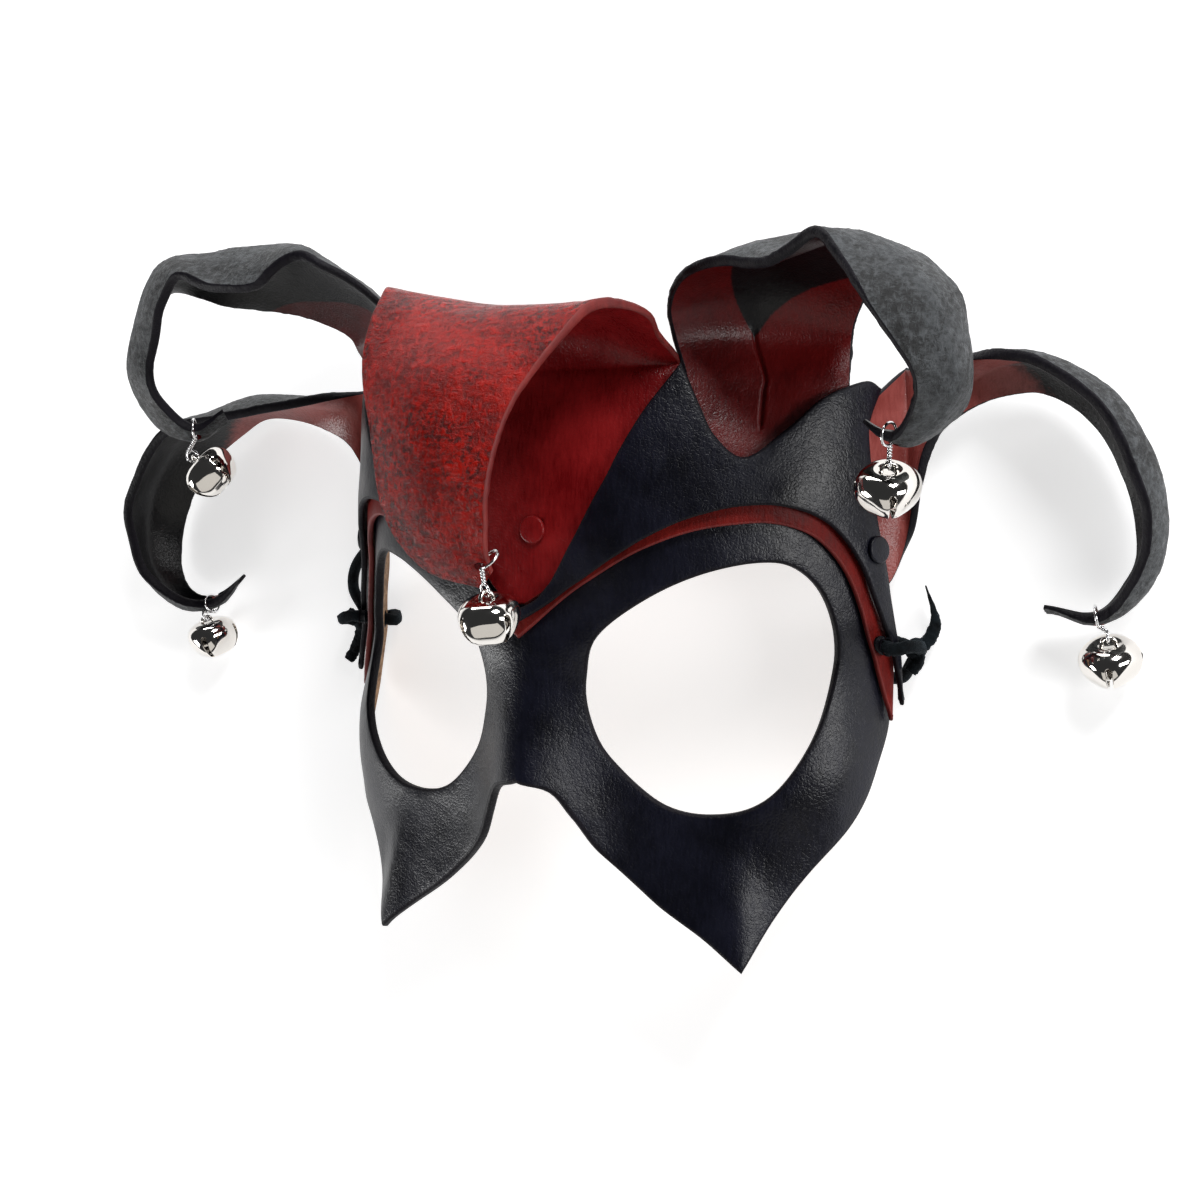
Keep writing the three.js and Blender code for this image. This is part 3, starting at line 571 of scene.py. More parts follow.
def cut_away(piece, cutters, solver):
    for cutter in cutters:
        cut = piece.modifiers.new("cut", "BOOLEAN")
        cut.solver = solver
        cut.operation = "DIFFERENCE"
        cut.object = cutter
    bpy.context.view_layer.update()
    flatten(piece)
    for cutter in cutters:
        bpy.data.objects.remove(cutter)


def flatten(piece):
    """Turns the piece with its modifiers into a plain mesh."""
    evaluated = piece.evaluated_get(bpy.context.evaluated_depsgraph_get())
    made = bpy.data.meshes.new_from_object(evaluated)
    piece.modifiers.clear()
    old = piece.data
    piece.data = made
    bpy.data.meshes.remove(old)
    return piece


def rod_mesh(name, start, end, radius, sides):
    axis = (end - start).normalized()
    first = axis.orthogonal().normalized()
    second = axis.cross(first)
    turns = full_turn(sides)
    points = [p for centre in (start, end) for p in round_points(centre, first, second, radius, turns)]
    faces = between_rings(2, sides) + [tuple(reversed(range(sides))), tuple(range(sides, 2 * sides))]
    return add_piece(name, points, faces, [], smooth_faces=False)


def left_root(rows):
    """The rows of a right horn that lie on the form, mirrored."""
    on_face = [row for row in rows if "form" in row]
    return [on_form(left_of(row["form"][1]), left_of(row["form"][0]), row["bow"]) for row in on_face]


CENTRE_ROWS = [
    on_form((-1.5, 19.8), (1.5, 19.8)), on_form((-8, 26), (8, 26)), on_form((-19, 44), (19, 44)),
    on_form((-27.5, 60), (27.5, 60)), on_form((-33.2, 71), (33.2, 71)), on_form((-33.5, 75), (33.5, 75)),
    free((-34, 84, -10), (36, 82, -10.5), 1), free((-31, 92, -3), (37, 87, -4), -1),
    free((-27, 95.5, 4), (33, 90.5, 3), -3), free((-24, 93, 12), (29, 90, 10), -2),
    free((-23, 88, 18), (25, 84, 17), 1), free((-21, 78, 25), (20, 75, 26), 4),
    free((-17, 67, 30), (17, 66, 32), 4), free((-14, 52, 33), (15, 54, 36), 3),
    free((-10, 43, 34), (14, 46, 36), 2), free((-2, 35, 33), (13, 40, 35), 1),
    free((9, 31, 31), (13, 35, 33)),
]
UPPER_RIGHT_ROWS = [
    on_form((37, 47), (76, 45)), on_form((36.6, 54), (76.2, 52), 0.3), on_form((36.2, 61), (76.6, 58), 2),
    on_form((35.8, 68), (77, 65), 4), on_form((35.4, 72), (77, 69.5), 5),
    free((36, 81, -19), (69.8, 76, -44.5), 4.5), free((37, 89, -15.5), (71, 81, -44), 5.5),
    free((44, 96, -10), (74.5, 86.5, -41), 6), free((57, 99, -4), (79.5, 92, -34.5), 6),
    free((70.5, 97.8, 2), (86, 95, -26), 6), free((83, 103.5, 8), (95, 98, -14), 1),
    free((92, 95, 14), (104, 93, -8), 3), free((97, 88, 16), (110, 85, -4), 4),
    free((104, 75, 13), (110, 71, -4), 4), free((102, 67, 8), (105, 63, -5), 2),
    free((96, 61, 3), (98, 59, -4), 1), free((89, 64, 1), (89, 62, -3)),
]
UPPER_LEFT_ROWS = left_root(UPPER_RIGHT_ROWS) + [
    free((-69, 77, -44), (-37, 83, -17.5), 4.5), free((-70, 82, -41), (-41, 94, -9), 5.5),
    free((-75, 86, -37), (-48, 102, -1), 6), free((-83, 90, -31), (-55, 105, 1), 8),
    free((-92, 92, -25), (-66, 98, 3), 11), free((-102, 95, -21), (-78, 98, 4), 9),
    free((-112, 96, -20), (-90, 101, 4), 5), free((-119, 85, -18), (-101, 87, 1), 4),
    free((-122, 74, -19), (-106, 77, -1), 4), free((-117, 63, -18), (-104, 66, -5), 3),
    free((-104, 58, -16), (-100, 61, -9), 1), free((-94, 62, -16), (-92, 65, -12)),
]
LOWER_RIGHT_ROWS = [
    on_form((78.9, 50), (82.8, 28)), on_form((80.5, 58), (90, 18)),
    free((77.3, 67, -58), (82, 29, -46)), free((81, 68, -57), (85, 41, -45), 1),
    free((89, 70, -53), (88, 52, -47), 2), free((98, 72, -48), (94, 58, -51), 3),
    free((107, 73, -43), (102, 62, -54), 4), free((117, 71, -39), (113, 63, -55), 4),
    free((131, 61, -35), (125, 56, -54), 5), free((139, 45, -34), (133, 42, -52), 5),
    free((140, 31, -36), (136, 28, -50), 4), free((136, 21, -38), (133, 19, -49), 3),
    free((128, 13, -41), (127, 12, -47), 1), free((115, 14, -43), (115, 12, -46)),
]
LOWER_LEFT_ROWS = left_root(LOWER_RIGHT_ROWS) + [
    free((-74, 34, -50), (-73, 64, -57.6)), free((-79, 49, -51.5), (-76, 65, -50), 1),
    free((-88, 55, -53), (-81, 65, -43), 2), free((-101, 58.5, -53.5), (-89, 64, -36), 3),
    free((-112, 58, -53.5), (-97, 63, -32), 4), free((-123, 51, -52), (-109, 61, -29), 5),
    free((-133, 42, -50), (-127, 57, -28), 5), free((-140, 27, -48), (-142, 38, -29), 5),
    free((-141, 14, -46), (-143, 19, -31), 4), free((-134, 8, -43), (-135, 9, -35), 3),
    free((-124, 8, -41), (-124, 7, -38), 1), free((-113, 15, -40), (-113, 14, -38)),
]


def rivet_punch(place):
    return face_form(*place, -7), face_form(*place, 14), RIVET_HOLE_RADIUS


# Bells, wires, rivets

def turned_solid(name, profile, sides, materials):
    """A solid turned about +Z from (radius, height) pairs."""
    shape = bmesh.new()
    rings = []
    for radius, height in profile:
        if radius < 1e-6:
            rings.append([shape.verts.new((0, 0, height))])
            continue
        rings.append([shape.verts.new((radius * math.cos(t), radius * math.sin(t), height))
                      for t in full_turn(sides)])
    for lower, upper in zip(rings, rings[1:]):
        for i in range(sides):
            j = (i + 1) % sides
            corners = [ring[k % len(ring)] for ring, k in ((lower, i), (lower, j), (upper, j), (upper, i))]
            shape.faces.new(list(dict.fromkeys(corners)))
    return mesh_object(name, shape, materials)


def arc(centre, radius, start, end, count):
    """Profile points of a rounded corner, in degrees."""
    angles = [math.radians(mix(start, end, i / count)) for i in range(count + 1)]
    return [(centre[0] + radius * math.cos(a), centre[1] + radius * math.sin(a)) for a in angles]


def dome_profile(inset=0.0):
    """Half section of the squat bell's outside, foot to top, with a shallow dish round its loop."""
    outline = [
        (0, -5.75), (1.6, -5.75), (3, -5.65), (4.1, -5.3), (5.1, -4.6), (5.9, -3.6), (6.55, -2.5),
        (7, -1.3), (7.15, -0.3), (7.2, 0.5), (7.1, 1.4), (6.8, 2.3), (6.25, 3.15), (5.4, 3.9), (4.4, 4.4),
        (3.4, 4.6),
        (2.6, 4.5), (1.9, 4.2), (1.1, 4), (0, BELL_TOP),
    ]
    shrink = (BELL_RADIUS - inset) / BELL_RADIUS
    return [(r * shrink, z * shrink) for r, z in outline]


def pinch_corners(piece):
    """Presses the round shell into four leaves whose corners lie along the slots."""
    for vertex in piece.data.vertices:
        x, y, z = vertex.co
        turn = math.atan2(y, x)
        lower = 1 - ease(z, -3, 4)
        swell = 1 + (0.012 + 0.05 * lower) * (math.cos(4 * turn) - 0.4)
        vertex.co = (x * swell, y * swell, z)
    return piece


def slot_cutter(turn):
    """A wedge that is wide above the middle and narrow at the foot, across the whole bell."""
    half_top, half_foot, top, foot = 0.8, 0.35, 1.2, -8
    mesh = bpy.data.meshes.new(f"slot_{turn}")
    ends = [(-half_foot, foot), (half_foot, foot), (half_top, top)]
    ends += [(half_top * math.cos(a), top + half_top * math.sin(a)) for a in (math.pi / 4, math.pi / 2)]
    ends += [(-half_top * math.cos(math.pi / 4), top + half_top * math.sin(math.pi / 4)), (-half_top, top)]
    count = len(ends)
    spin = Matrix.Rotation(math.radians(turn), 3, "Z")
    points = [spin @ Vector((x, y, z)) for x in (-BELL_RADIUS * 1.3, BELL_RADIUS * 1.3) for y, z in ends]
    faces = [tuple(reversed(range(count))), tuple(range(count, 2 * count))]
    faces += between_rings(2, count)
    mesh.from_pydata(points, [], faces)
    return in_scene(f"slot_{turn}", mesh)


def bell_source(nickel):
    """One hollow bell with its cross of slots, about its own centre, loop towards +Z."""
    outer = pinch_corners(turned_solid("bell_source", dome_profile(), BELL_SIDES, [nickel]))
    inner = pinch_corners(turned_solid("bell_hollow", dome_profile(BELL_WALL), BELL_SIDES, [nickel]))
    cut_away(outer, [inner, slot_cutter(0), slot_cutter(90)], "EXACT")
    soften = outer.modifiers.new("soften", "BEVEL")
    soften.width = BELL_EDGE
    soften.segments = 2
    soften.limit_method = "ANGLE"
    soften.angle_limit = math.radians(50)
    return flatten(outer)


def ring_into(shape, centre, radius, wire, first, second, turns=28, sides=10):
    """A ring of round wire in the plane of two directions, added to a bmesh."""
    first = first.normalized()
    axis = first.cross(second).normalized()
    second = axis.cross(first)
    rings = []
    for i in range(turns):
        a = math.radians(360 * i / turns)
        out = first * math.cos(a) + second * math.sin(a)
        ring = [centre + out * (radius + wire * math.cos(b)) + axis * wire * math.sin(b)
                for b in full_turn(sides)]
        rings.append([shape.verts.new(p) for p in ring])
    for a, b in zip(rings, rings[1:] + rings[:1]):
        for k in range(sides):
            m = (k + 1) % sides
            shape.faces.new((a[k], b[k], b[m], a[m]))


def mesh_object(name, shape, materials):
    mesh = bpy.data.meshes.new(name)
    bmesh.ops.recalc_face_normals(shape, faces=shape.faces)
    shape.to_mesh(mesh)
    shape.free()
    for material in materials:
        mesh.materials.append(material)
    mesh.polygons.foreach_set("use_smooth", [True] * len(mesh.polygons))
    return in_scene(name, mesh)


def twist_tree(wire):
    """Geometry nodes: two strands wound round each other along +Z, from sizes given as inputs."""
    tree = bpy.data.node_groups.new("twisted wire", "GeometryNodeTree")
    face = tree.interface
    face.new_socket("Geometry", in_out="INPUT", socket_type="NodeSocketGeometry")
    sizes = {}
    for label in ("Length", "Turns", "Winding radius", "Wire radius"):
        sizes[label] = face.new_socket(label, in_out="INPUT", socket_type="NodeSocketFloat").identifier
    face.new_socket("Geometry", in_out="OUTPUT", socket_type="NodeSocketGeometry")
    nodes, links = tree.nodes, tree.links
    given = nodes.new("NodeGroupInput")
    strands = []
    section = nodes.new("GeometryNodeCurvePrimitiveCircle")
    section.inputs["Resolution"].default_value = 8
    links.new(given.outputs["Wire radius"], section.inputs["Radius"])
    for turn in (0, math.pi):
        spiral = nodes.new("GeometryNodeCurveSpiral")
        spiral.inputs["Resolution"].default_value = 18
        for label, socket in (("Turns", "Rotations"), ("Winding radius", "Start Radius"),
                              ("Winding radius", "End Radius"), ("Length", "Height")):
            links.new(given.outputs[label], spiral.inputs[socket])
        turned = nodes.new("GeometryNodeTransform")
        turned.inputs["Rotation"].default_value = (0, 0, turn)
        links.new(spiral.outputs["Curve"], turned.inputs["Geometry"])
        skin = nodes.new("GeometryNodeCurveToMesh")
        skin.inputs["Fill Caps"].default_value = True
        links.new(turned.outputs["Geometry"], skin.inputs["Curve"])
        links.new(section.outputs["Curve"], skin.inputs["Profile Curve"])
        strands.append(skin)
    chain = [nodes.new(f"GeometryNode{step}")
             for step in ("JoinGeometry", "SetShadeSmooth", "RealizeInstances", "SetMaterial")]
    chain[-1].inputs["Material"].default_value = wire
    chain.append(nodes.new("NodeGroupOutput"))
    for strand in strands:
        links.new(strand.outputs["Mesh"], chain[0].inputs["Geometry"])
    for before, after in zip(chain, chain[1:]):
        links.new(before.outputs["Geometry"], after.inputs["Geometry"])
    return tree, sizes


def grown(name, tree, sizes, values):
    """The plain mesh that a geometry nodes tree makes from its named sizes."""
    host = in_scene(name, bpy.data.meshes.new(name))
    grow = host.modifiers.new("grow", "NODES")
    grow.node_group = tree
    for label, value in values.items():
        grow[sizes[label]] = value
    bpy.context.view_layer.update()
    return flatten(host)


def joined(name, parts, place):
    """One object from the meshes of several, moved into place; the parts are removed."""
    mesh = bpy.data.meshes.new(name)
    shape = bmesh.new()
    materials = []
    for part in parts:
        start = len(shape.faces)
        shape.from_mesh(part.data)
        shape.faces.ensure_lookup_table()
        for face in shape.faces[start:]:
            own = part.data.materials[face.material_index] if part.data.materials else None
            if own not in materials:
                materials.append(own)
            face.material_index = materials.index(own)
    bmesh.ops.transform(shape, matrix=place, verts=shape.verts)
    shape.to_mesh(mesh)
    shape.free()
    for material in materials:
        mesh.materials.append(material)
    for part in parts:
        bpy.data.objects.remove(part)
    return in_scene(name, mesh)


IN_MASK = LIE @ Matrix.Scale(MM, 4)


def hang_bell(name, strap, hole, edge, place, lean, spin, source, twist, nickel, silver):
    """The bell with its loop and loose ball, the ring through the horn's tip and the twisted wire between."""
    at, outward, normal = strap.near_edge(hole, edge)
    centre = Vector(place)
    ring_centre = at + outward * HORN_RING_RADIUS
    aside = outward.cross(normal).normalized()
    pull = centre - ring_centre
    pull = (pull - aside * pull.dot(aside)).normalized()
    hang_point = ring_centre + pull * HORN_RING_RADIUS
    axis = ((hang_point - centre).normalized() + Vector(lean)).normalized()
    turn = Vector((0, 0, 1)).rotation_difference(axis) @ Quaternion((0, 0, 1), math.radians(spin))
    bell_place = Matrix.Translation(centre) @ turn.to_matrix().to_4x4()
    shell = in_scene("bell_shell", source.data.copy())
    shape = bmesh.new()
    ring_into(shape, Vector((0, 0, BELL_TOP + LOOP_WIRE)), LOOP_RADIUS, LOOP_WIRE, Vector((1, 0, 0)),
              Vector((0, 0, 1)), 32, 12)
    bmesh.ops.create_uvsphere(shape, u_segments=24, v_segments=14, radius=BALL_RADIUS,
                              matrix=Matrix.Translation(BALL_AT))
    loop = mesh_object("bell_loop", shape, [nickel])
    bell = joined(f"bell_{name}_shell", [shell, loop], IN_MASK @ bell_place)
    settle(bell, f"bell_{name}")

    side = turn @ Vector((0, 1, 0))
    low_ring = centre + axis * (BELL_TOP + LOOP_WIRE + GAP + BELL_RING_RADIUS)
    stem_start = low_ring + axis * BELL_RING_RADIUS
    stem = hang_point - stem_start
    shape = bmesh.new()
    ring_into(shape, ring_centre, HORN_RING_RADIUS, WIRE_RADIUS, outward, normal)
    ring_into(shape, low_ring, BELL_RING_RADIUS, WIRE_RADIUS, axis, side)
    rings = mesh_object("wire_rings", shape, [silver])
    values = {"Length": stem.length, "Turns": max(stem.length / 1.5, 1.0),
              "Winding radius": WIRE_RADIUS * 0.95, "Wire radius": WIRE_RADIUS * 0.9}
    twisted = grown("wire_twist", *twist, values)
    stem_turn = Vector((0, 0, 1)).rotation_difference(stem).to_matrix().to_4x4()
    twisted.data.transform(Matrix.Translation(stem_start) @ stem_turn)
    wire = joined(f"wire_{name}_twisted", [rings, twisted], IN_MASK)
    settle(wire, f"wire_{name}")
    return at - normal * HORN_THICKNESS * 1.5, at + normal * HORN_THICKNESS * 1.5, TIE_HOLE_RADIUS


def make_rivet(name, place, top_lift, finish):
    base = top_lift + GAP
    foot = -MASK_THICKNESS - GAP
    cap = arc((2.75, base + 0.25), 0.55, 0, 90, 6)
    foot_radius, shank_radius, cap_radius = 2.6, 1.1, 3.3
    profile = [(0, foot - 0.8), (2.2, foot - 0.8), (2.5, foot - 0.65), (foot_radius, foot - 0.4),
               (foot_radius, foot), (shank_radius, foot), (shank_radius, base),
               (3.15, base), (cap_radius, base + 0.1), *cap,
               (1.6, base + 0.88), (0, base + 0.92)]
    body = turned_solid(f"{name}_cap", profile, 48, [finish])
    turn = Vector((0, 0, 1)).rotation_difference(face_normal(*place)).to_matrix().to_4x4()
    body.data.transform(IN_MASK @ Matrix.Translation(face_form(*place, 0)) @ turn)
    settle(body, name)


# Suede laces

def tube_mesh(points, radius, sides, steps, flat, fuzz, seed, taper=0.0, tip=0.0):
    """Verts and faces of a closed suede lace along points; tip is the share of it cut slanting to a point."""
    route = points
    if steps:
        route = [catmull(points, i / steps) for i in range(steps + 1)]
    made, side = [], None
    for i, p in enumerate(route):
        ahead = (route[min(i + 1, len(route) - 1)] - route[max(i - 1, 0)]).normalized()
        if side is None:
            side = ahead.cross(Vector((0, 0, 1)))
            if side.length < 0.1:
                side = ahead.orthogonal()
        side = (side - ahead * side.dot(ahead)).normalized()
        over = side.cross(ahead)
        from_end = min(i, len(route) - 1 - i)
        size = radius * (1 - taper * (1 - min(from_end / 3, 1)))
        if tip:
            size *= mix(1, 0.12, ease(i / (len(route) - 1), 1 - tip, 1.05))
        for a in full_turn(sides):
            grain = 1 + fuzz * noise.noise(p / radius * 2.2 + Vector((math.cos(a), math.sin(a), seed)) * 2)
            corner = 1 / max(abs(math.cos(a)), abs(math.sin(a))) ** 0.45
            reach = size * grain * min(corner, 1.12)
            made.append(p + side * (reach * math.cos(a)) + over * (reach * flat * math.sin(a)))
    faces = between_rings(len(route), sides)
    for end, order in ((0, 1), (len(route) - 1, -1)):
        centre = len(made)
        made.append(route[end])
        for k in range(sides):
            m = (k + 1) % sides
            corners = (end * sides + k, centre, end * sides + m)
            faces.append(corners if order > 0 else corners[::-1])
    return made, faces


WRAP_RADIUS = 1.35
WRAP_STRAND = 1.45
WRAP_STEPS = 24
TIE_LOOP = [(3.5, -1.5, -6.9), (-2, -0.5, -6.3), (9.5, 0, 2.5), (11, -1, -1.5)]
RIGHT_TAILS = [
    [(11.4, -0.5, -7.1), (12.9, 4.5, -8.1), (10.4, 12.5, -9.1)],
    [(9.6, -5, -4), (8, -7.6, -2.6)],
]
LEFT_TAILS = [
    [(9.4, -6.4, -5), (11.2, -10.4, -4.4), (13, -13.4, -3.4)],
    [(10.4, -1.2, -4.8), (12.4, 0.2, -4.2)],
]


def beside_hole(side, step):
    hole = face_form(side * LACE_HOLE[0], LACE_HOLE[1], 0)
    return hole + Vector((side * step[0], step[1], step[2]))


def make_tie(name, side, tails, suede):
    """A lace looped through the temple hole and round the edge, knotted, with two cut tails."""
    knot = beside_hole(side, KNOT)
    below, within, outside, over = (beside_hole(side, step) for step in TIE_LOOP)
    hole = [face_form(side * LACE_HOLE[0], LACE_HOLE[1], lift) for lift in (-5, -2, 3, 7)]
    points, faces = [], []

    def add(part):
        start = len(points)
        points.extend(part[0])
        faces.extend(tuple(i + start for i in face) for face in part[1])

    loop = [knot, below, within, *hole, outside, over, knot]
    add(tube_mesh(loop, LACE_DIAMETER / 2 * 0.98, sides=14, steps=90, flat=0.92, fuzz=0.14, seed=1.0))
    for k, tail in enumerate(tails):
        route = [knot] + [beside_hole(side, step) for step in tail]
        tip = 0.6 if k == 0 and side > 0 else 0
        add(tube_mesh(route, LACE_DIAMETER / 2, sides=14, steps=16 * len(route), flat=0.7, fuzz=0.3,
                      seed=3.0 + k, taper=0.1, tip=tip))
    for k, (tilt, spin) in enumerate(((0.3, 0.2), (1.2, 1.5), (2.3, 2.6))):
        axis = Vector((math.cos(tilt) * side, math.sin(tilt), 0.6 * math.cos(spin))).normalized()
        first = axis.orthogonal().normalized()
        second = axis.cross(first)
        turns = full_turn(WRAP_STEPS) + [2 * math.pi]
        wrap = [p + axis * (0.5 - k * 0.5) for p in round_points(knot, first, second, WRAP_RADIUS, turns)]
        add(tube_mesh(wrap, WRAP_STRAND, sides=12, steps=None, flat=0.95, fuzz=0.16, seed=7.0 + k))
    piece = add_piece(f"{name}_knotted", points, faces, [suede])
    settle(piece, name)


COIL_RADIUS = 18
COIL_STEPS = 28
RIGHT_LACE = dict(
    side=1, out=(-0.3, -0.9, -0.3), coil=(34, 38),
    route=[(81, -19), (75.5, -18), (71, -12), (68.5, -3), (67, 6), (63.5, 14), (55.8, 18.4), (46.2, 18.4)],
)
LEFT_LACE = dict(
    side=-1, out=(0, 0.97, -0.2), coil=(-34, 38),
    route=[(-78.6, -2), (-77.5, 4.5), (-71.5, 11), (-63, 16.3), (-55.8, 18.4), (-46.2, 18.4)],
)


def lace_path(lace):
    """The points in metres that a free lace follows: from the knot to the floor and into its coil."""
    side = lace["side"]
    floor_level = (LACE_DIAMETER / 2 + FLOOR_GAP) * MM
    knot = LIE @ (beside_hole(side, KNOT) * MM)
    start = knot + Vector(lace["out"]).normalized() * (KNOT_RADIUS + 2 * GAP) * MM
    route = [start] + [Vector((x * MM, y * MM, floor_level)) for x, y in lace["route"]]
    x, y = (c * MM for c in lace["coil"])
    step = LACE_DIAMETER * MM
    inner, outer = (COIL_RADIUS - LACE_DIAMETER / 2) * MM, (COIL_RADIUS + LACE_DIAMETER / 2) * MM
    # the lace turns round the coil outside and inside, then a step higher inside and outside
    turns = [(outer, 0), (inner, 0), (inner, 1), (outer, 1)]
    coil = []
    for k, (own_radius, level) in enumerate(turns):
        last_radius, last_level = turns[max(k - 1, 0)]
        for i in range(COIL_STEPS):
            share = i / COIL_STEPS
            change = ease(share, 0, 0.3)
            radius = mix(last_radius, own_radius, change)
            height = mix(last_level, level, change) * step
            a = -math.pi / 2 - side * 2 * math.pi * share
            coil.append(Vector((x + radius * math.cos(a), y + radius * math.sin(a), floor_level + height)))
    return route[:-1], coil


def make_lace(name, lace, suede):
    route, coil = lace_path(lace)
    lead = [catmull(route + [coil[0]], i / 60) for i in range(60)]
    line = lead + coil
    curve = bpy.data.curves.new(f"{name}_free", "CURVE")
    curve.dimensions = "3D"
    spline = curve.splines.new("POLY")
    spline.points.add(len(line) - 1)
    for point, p in zip(spline.points, line):
        point.co = (*p, 1)
    curve.bevel_depth = LACE_DIAMETER / 2 * MM * 0.97
    curve.bevel_resolution = 3
    curve.use_fill_caps = True
    curve.materials.append(suede)
    piece = in_scene(f"{name}_free", curve)
    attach(piece, "root")
    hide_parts(name, name.replace("lace_", "lace_coil_"))


# Finishes

GRAIN_DEPTH = 0.00013
PAINT_BLACK = (0.0015, 0.0015, 0.0025)


def new_material(name):
    material = bpy.data.materials.new(name)
    material.use_nodes = True
    return material, material.node_tree, material.node_tree.nodes["Principled BSDF"]


def new_group(name, **inputs):
    """An empty leather group with numbers to set beside its Vector, that puts out Height and Tone."""
    group = bpy.data.node_groups.new(name, "ShaderNodeTree")
    sockets = group.interface
    sockets.new_socket("Vector", in_out="INPUT", socket_type="NodeSocketVector")
    for label, value in inputs.items():
        sockets.new_socket(label, in_out="INPUT", socket_type="NodeSocketFloat").default_value = value
    for label in ("Height", "Tone"):
        sockets.new_socket(label, in_out="OUTPUT", socket_type="NodeSocketFloat")
    return group, group.nodes.new("NodeGroupInput"), group.nodes.new("NodeGroupOutput")


def place_group(tree, group, vector, **values):
    """The height and the tone that a leather group gives over the piece."""
    node = tree.nodes.new("ShaderNodeGroup")
    node.node_tree = group
    for label, value in values.items():
        node.inputs[label].default_value = value
    tree.links.new(vector, node.inputs["Vector"])
    return node.outputs["Height"], node.outputs["Tone"]


def feed(tree, socket, value):
    """Gives a socket a plain number or colour, or joins it to another node's output."""
    if isinstance(value, (int, float)):
        socket.default_value = value
    elif isinstance(value, tuple):
        socket.default_value = (*value, 1)
    else:
        tree.links.new(value, socket)


def math_node(tree, operation, a, b):
    node = tree.nodes.new("ShaderNodeMath")
    node.operation = operation
    feed(tree, node.inputs[0], a)
    feed(tree, node.inputs[1], b)
    return node.outputs[0]


def plus(tree, a, b):
    return math_node(tree, "ADD", a, b)


def times(tree, a, b):
    return math_node(tree, "MULTIPLY", a, b)


def noise_node(tree, vector, scale, detail=4, roughness=0.55, distortion=0.0):
    node = tree.nodes.new("ShaderNodeTexNoise")
    for label, value in (("Scale", scale), ("Detail", detail), ("Roughness", roughness),
                         ("Distortion", distortion), ("Vector", vector)):
        feed(tree, node.inputs[label], value)
    return node.outputs["Fac"]


def range_node(tree, value, low, high, to_low=0.0, to_high=1.0):
    node = tree.nodes.new("ShaderNodeMapRange")
    node.interpolation_type = "SMOOTHSTEP"
    for label, given in (("Value", value), ("From Min", low), ("From Max", high),
                         ("To Min", to_low), ("To Max", to_high)):
        feed(tree, node.inputs[label], given)
    return node.outputs["Result"]


def mix_color(tree, factor, a, b):
    node = tree.nodes.new("ShaderNodeMix")
    node.data_type = "RGBA"
    for socket, value in ((node.inputs["Factor"], factor), (node.inputs[6], a), (node.inputs[7], b)):
        feed(tree, socket, value)
    return node.outputs[2]


def stretched(tree, vector, scale, turn):
    node = tree.nodes.new("ShaderNodeMapping")
    node.inputs["Scale"].default_value = scale
    node.inputs["Rotation"].default_value = turn
    tree.links.new(vector, node.inputs["Vector"])
    return node.outputs[0]


def grain_group():
    """Fine creased grain of smooth leather, with short brushed streaks of dye."""
    group, given, leave = new_group("leather grain", Streaks=0.4)
    links = group.links
    vector = given.outputs["Vector"]
    wander = group.nodes.new("ShaderNodeTexNoise")
    wander.inputs["Scale"].default_value = 500
    links.new(vector, wander.inputs["Vector"])
    bent = group.nodes.new("ShaderNodeVectorMath")
    bent.operation = "MULTIPLY_ADD"
    bent.inputs[1].default_value = (0.0012, 0.0012, 0.0012)
    links.new(wander.outputs["Color"], bent.inputs[0])
    links.new(vector, bent.inputs[2])
    creases = group.nodes.new("ShaderNodeTexVoronoi")
    creases.feature = "DISTANCE_TO_EDGE"
    creases.inputs["Scale"].default_value = 1000
    links.new(bent.outputs[0], creases.inputs["Vector"])
    pebbles = times(group, range_node(group, creases.outputs["Distance"], 0.0, 0.25), 0.2)
    fine = times(group, noise_node(group, vector, 2600, 3), 0.22)
    broad = times(group, noise_node(group, vector, 360, 3, 0.5), 0.85)
    streak = noise_node(group, stretched(group, vector, (1500, 260, 700), (0.3, 0.2, 0.5)), 1.0, 3)
    brushed = times(group, streak, given.outputs["Streaks"])
    height = plus(group, plus(group, plus(group, pebbles, fine), broad), brushed)
    links.new(height, leave.inputs["Height"])
    cloud = times(group, noise_node(group, vector, 60, 5), 0.7)
    links.new(plus(group, cloud, times(group, streak, 0.3)), leave.inputs["Tone"])
    return group


def fibre_group():
    """Rough, split fibres of the flesh side."""
    group, given, leave = new_group("leather fibres")
    vector = given.outputs["Vector"]
    parts = [noise_node(group, stretched(group, vector, scale, turn), 1.0, 5, 0.65, 0.6)
             for turn, scale in (((0.4, 0.1, 0.3), (1300, 420, 600)), ((1.0, 0.7, 1.6), (420, 1200, 700)))]
    lumps = times(group, noise_node(group, vector, 480, 4, 0.6), 0.8)
    height = plus(group, math_node(group, "MAXIMUM", *parts), lumps)
    group.links.new(height, leave.inputs["Height"])
    patches = times(group, noise_node(group, vector, 80, 5, 0.6), 0.55)
    combed = times(group, times(group, plus(group, *parts), 0.5), 0.45)
    group.links.new(plus(group, patches, combed), leave.inputs["Tone"])
    return group


def object_vector(tree):
    return tree.nodes.new("ShaderNodeTexCoord").outputs["Object"]


def dress(tree, shader, color, roughness, height, depth, gloss=0.5, strength=1.0):
    """Joins a finish's colour, roughness and raised height to its shader."""
    tree.links.new(color, shader.inputs["Base Color"])
    tree.links.new(roughness, shader.inputs["Roughness"])
    raised = tree.nodes.new("ShaderNodeBump")
    raised.inputs["Strength"].default_value = strength
    raised.inputs["Distance"].default_value = depth
    tree.links.new(height, raised.inputs["Height"])
    tree.links.new(raised.outputs["Normal"], shader.inputs["Normal"])
    shader.inputs["Specular IOR Level"].default_value = gloss


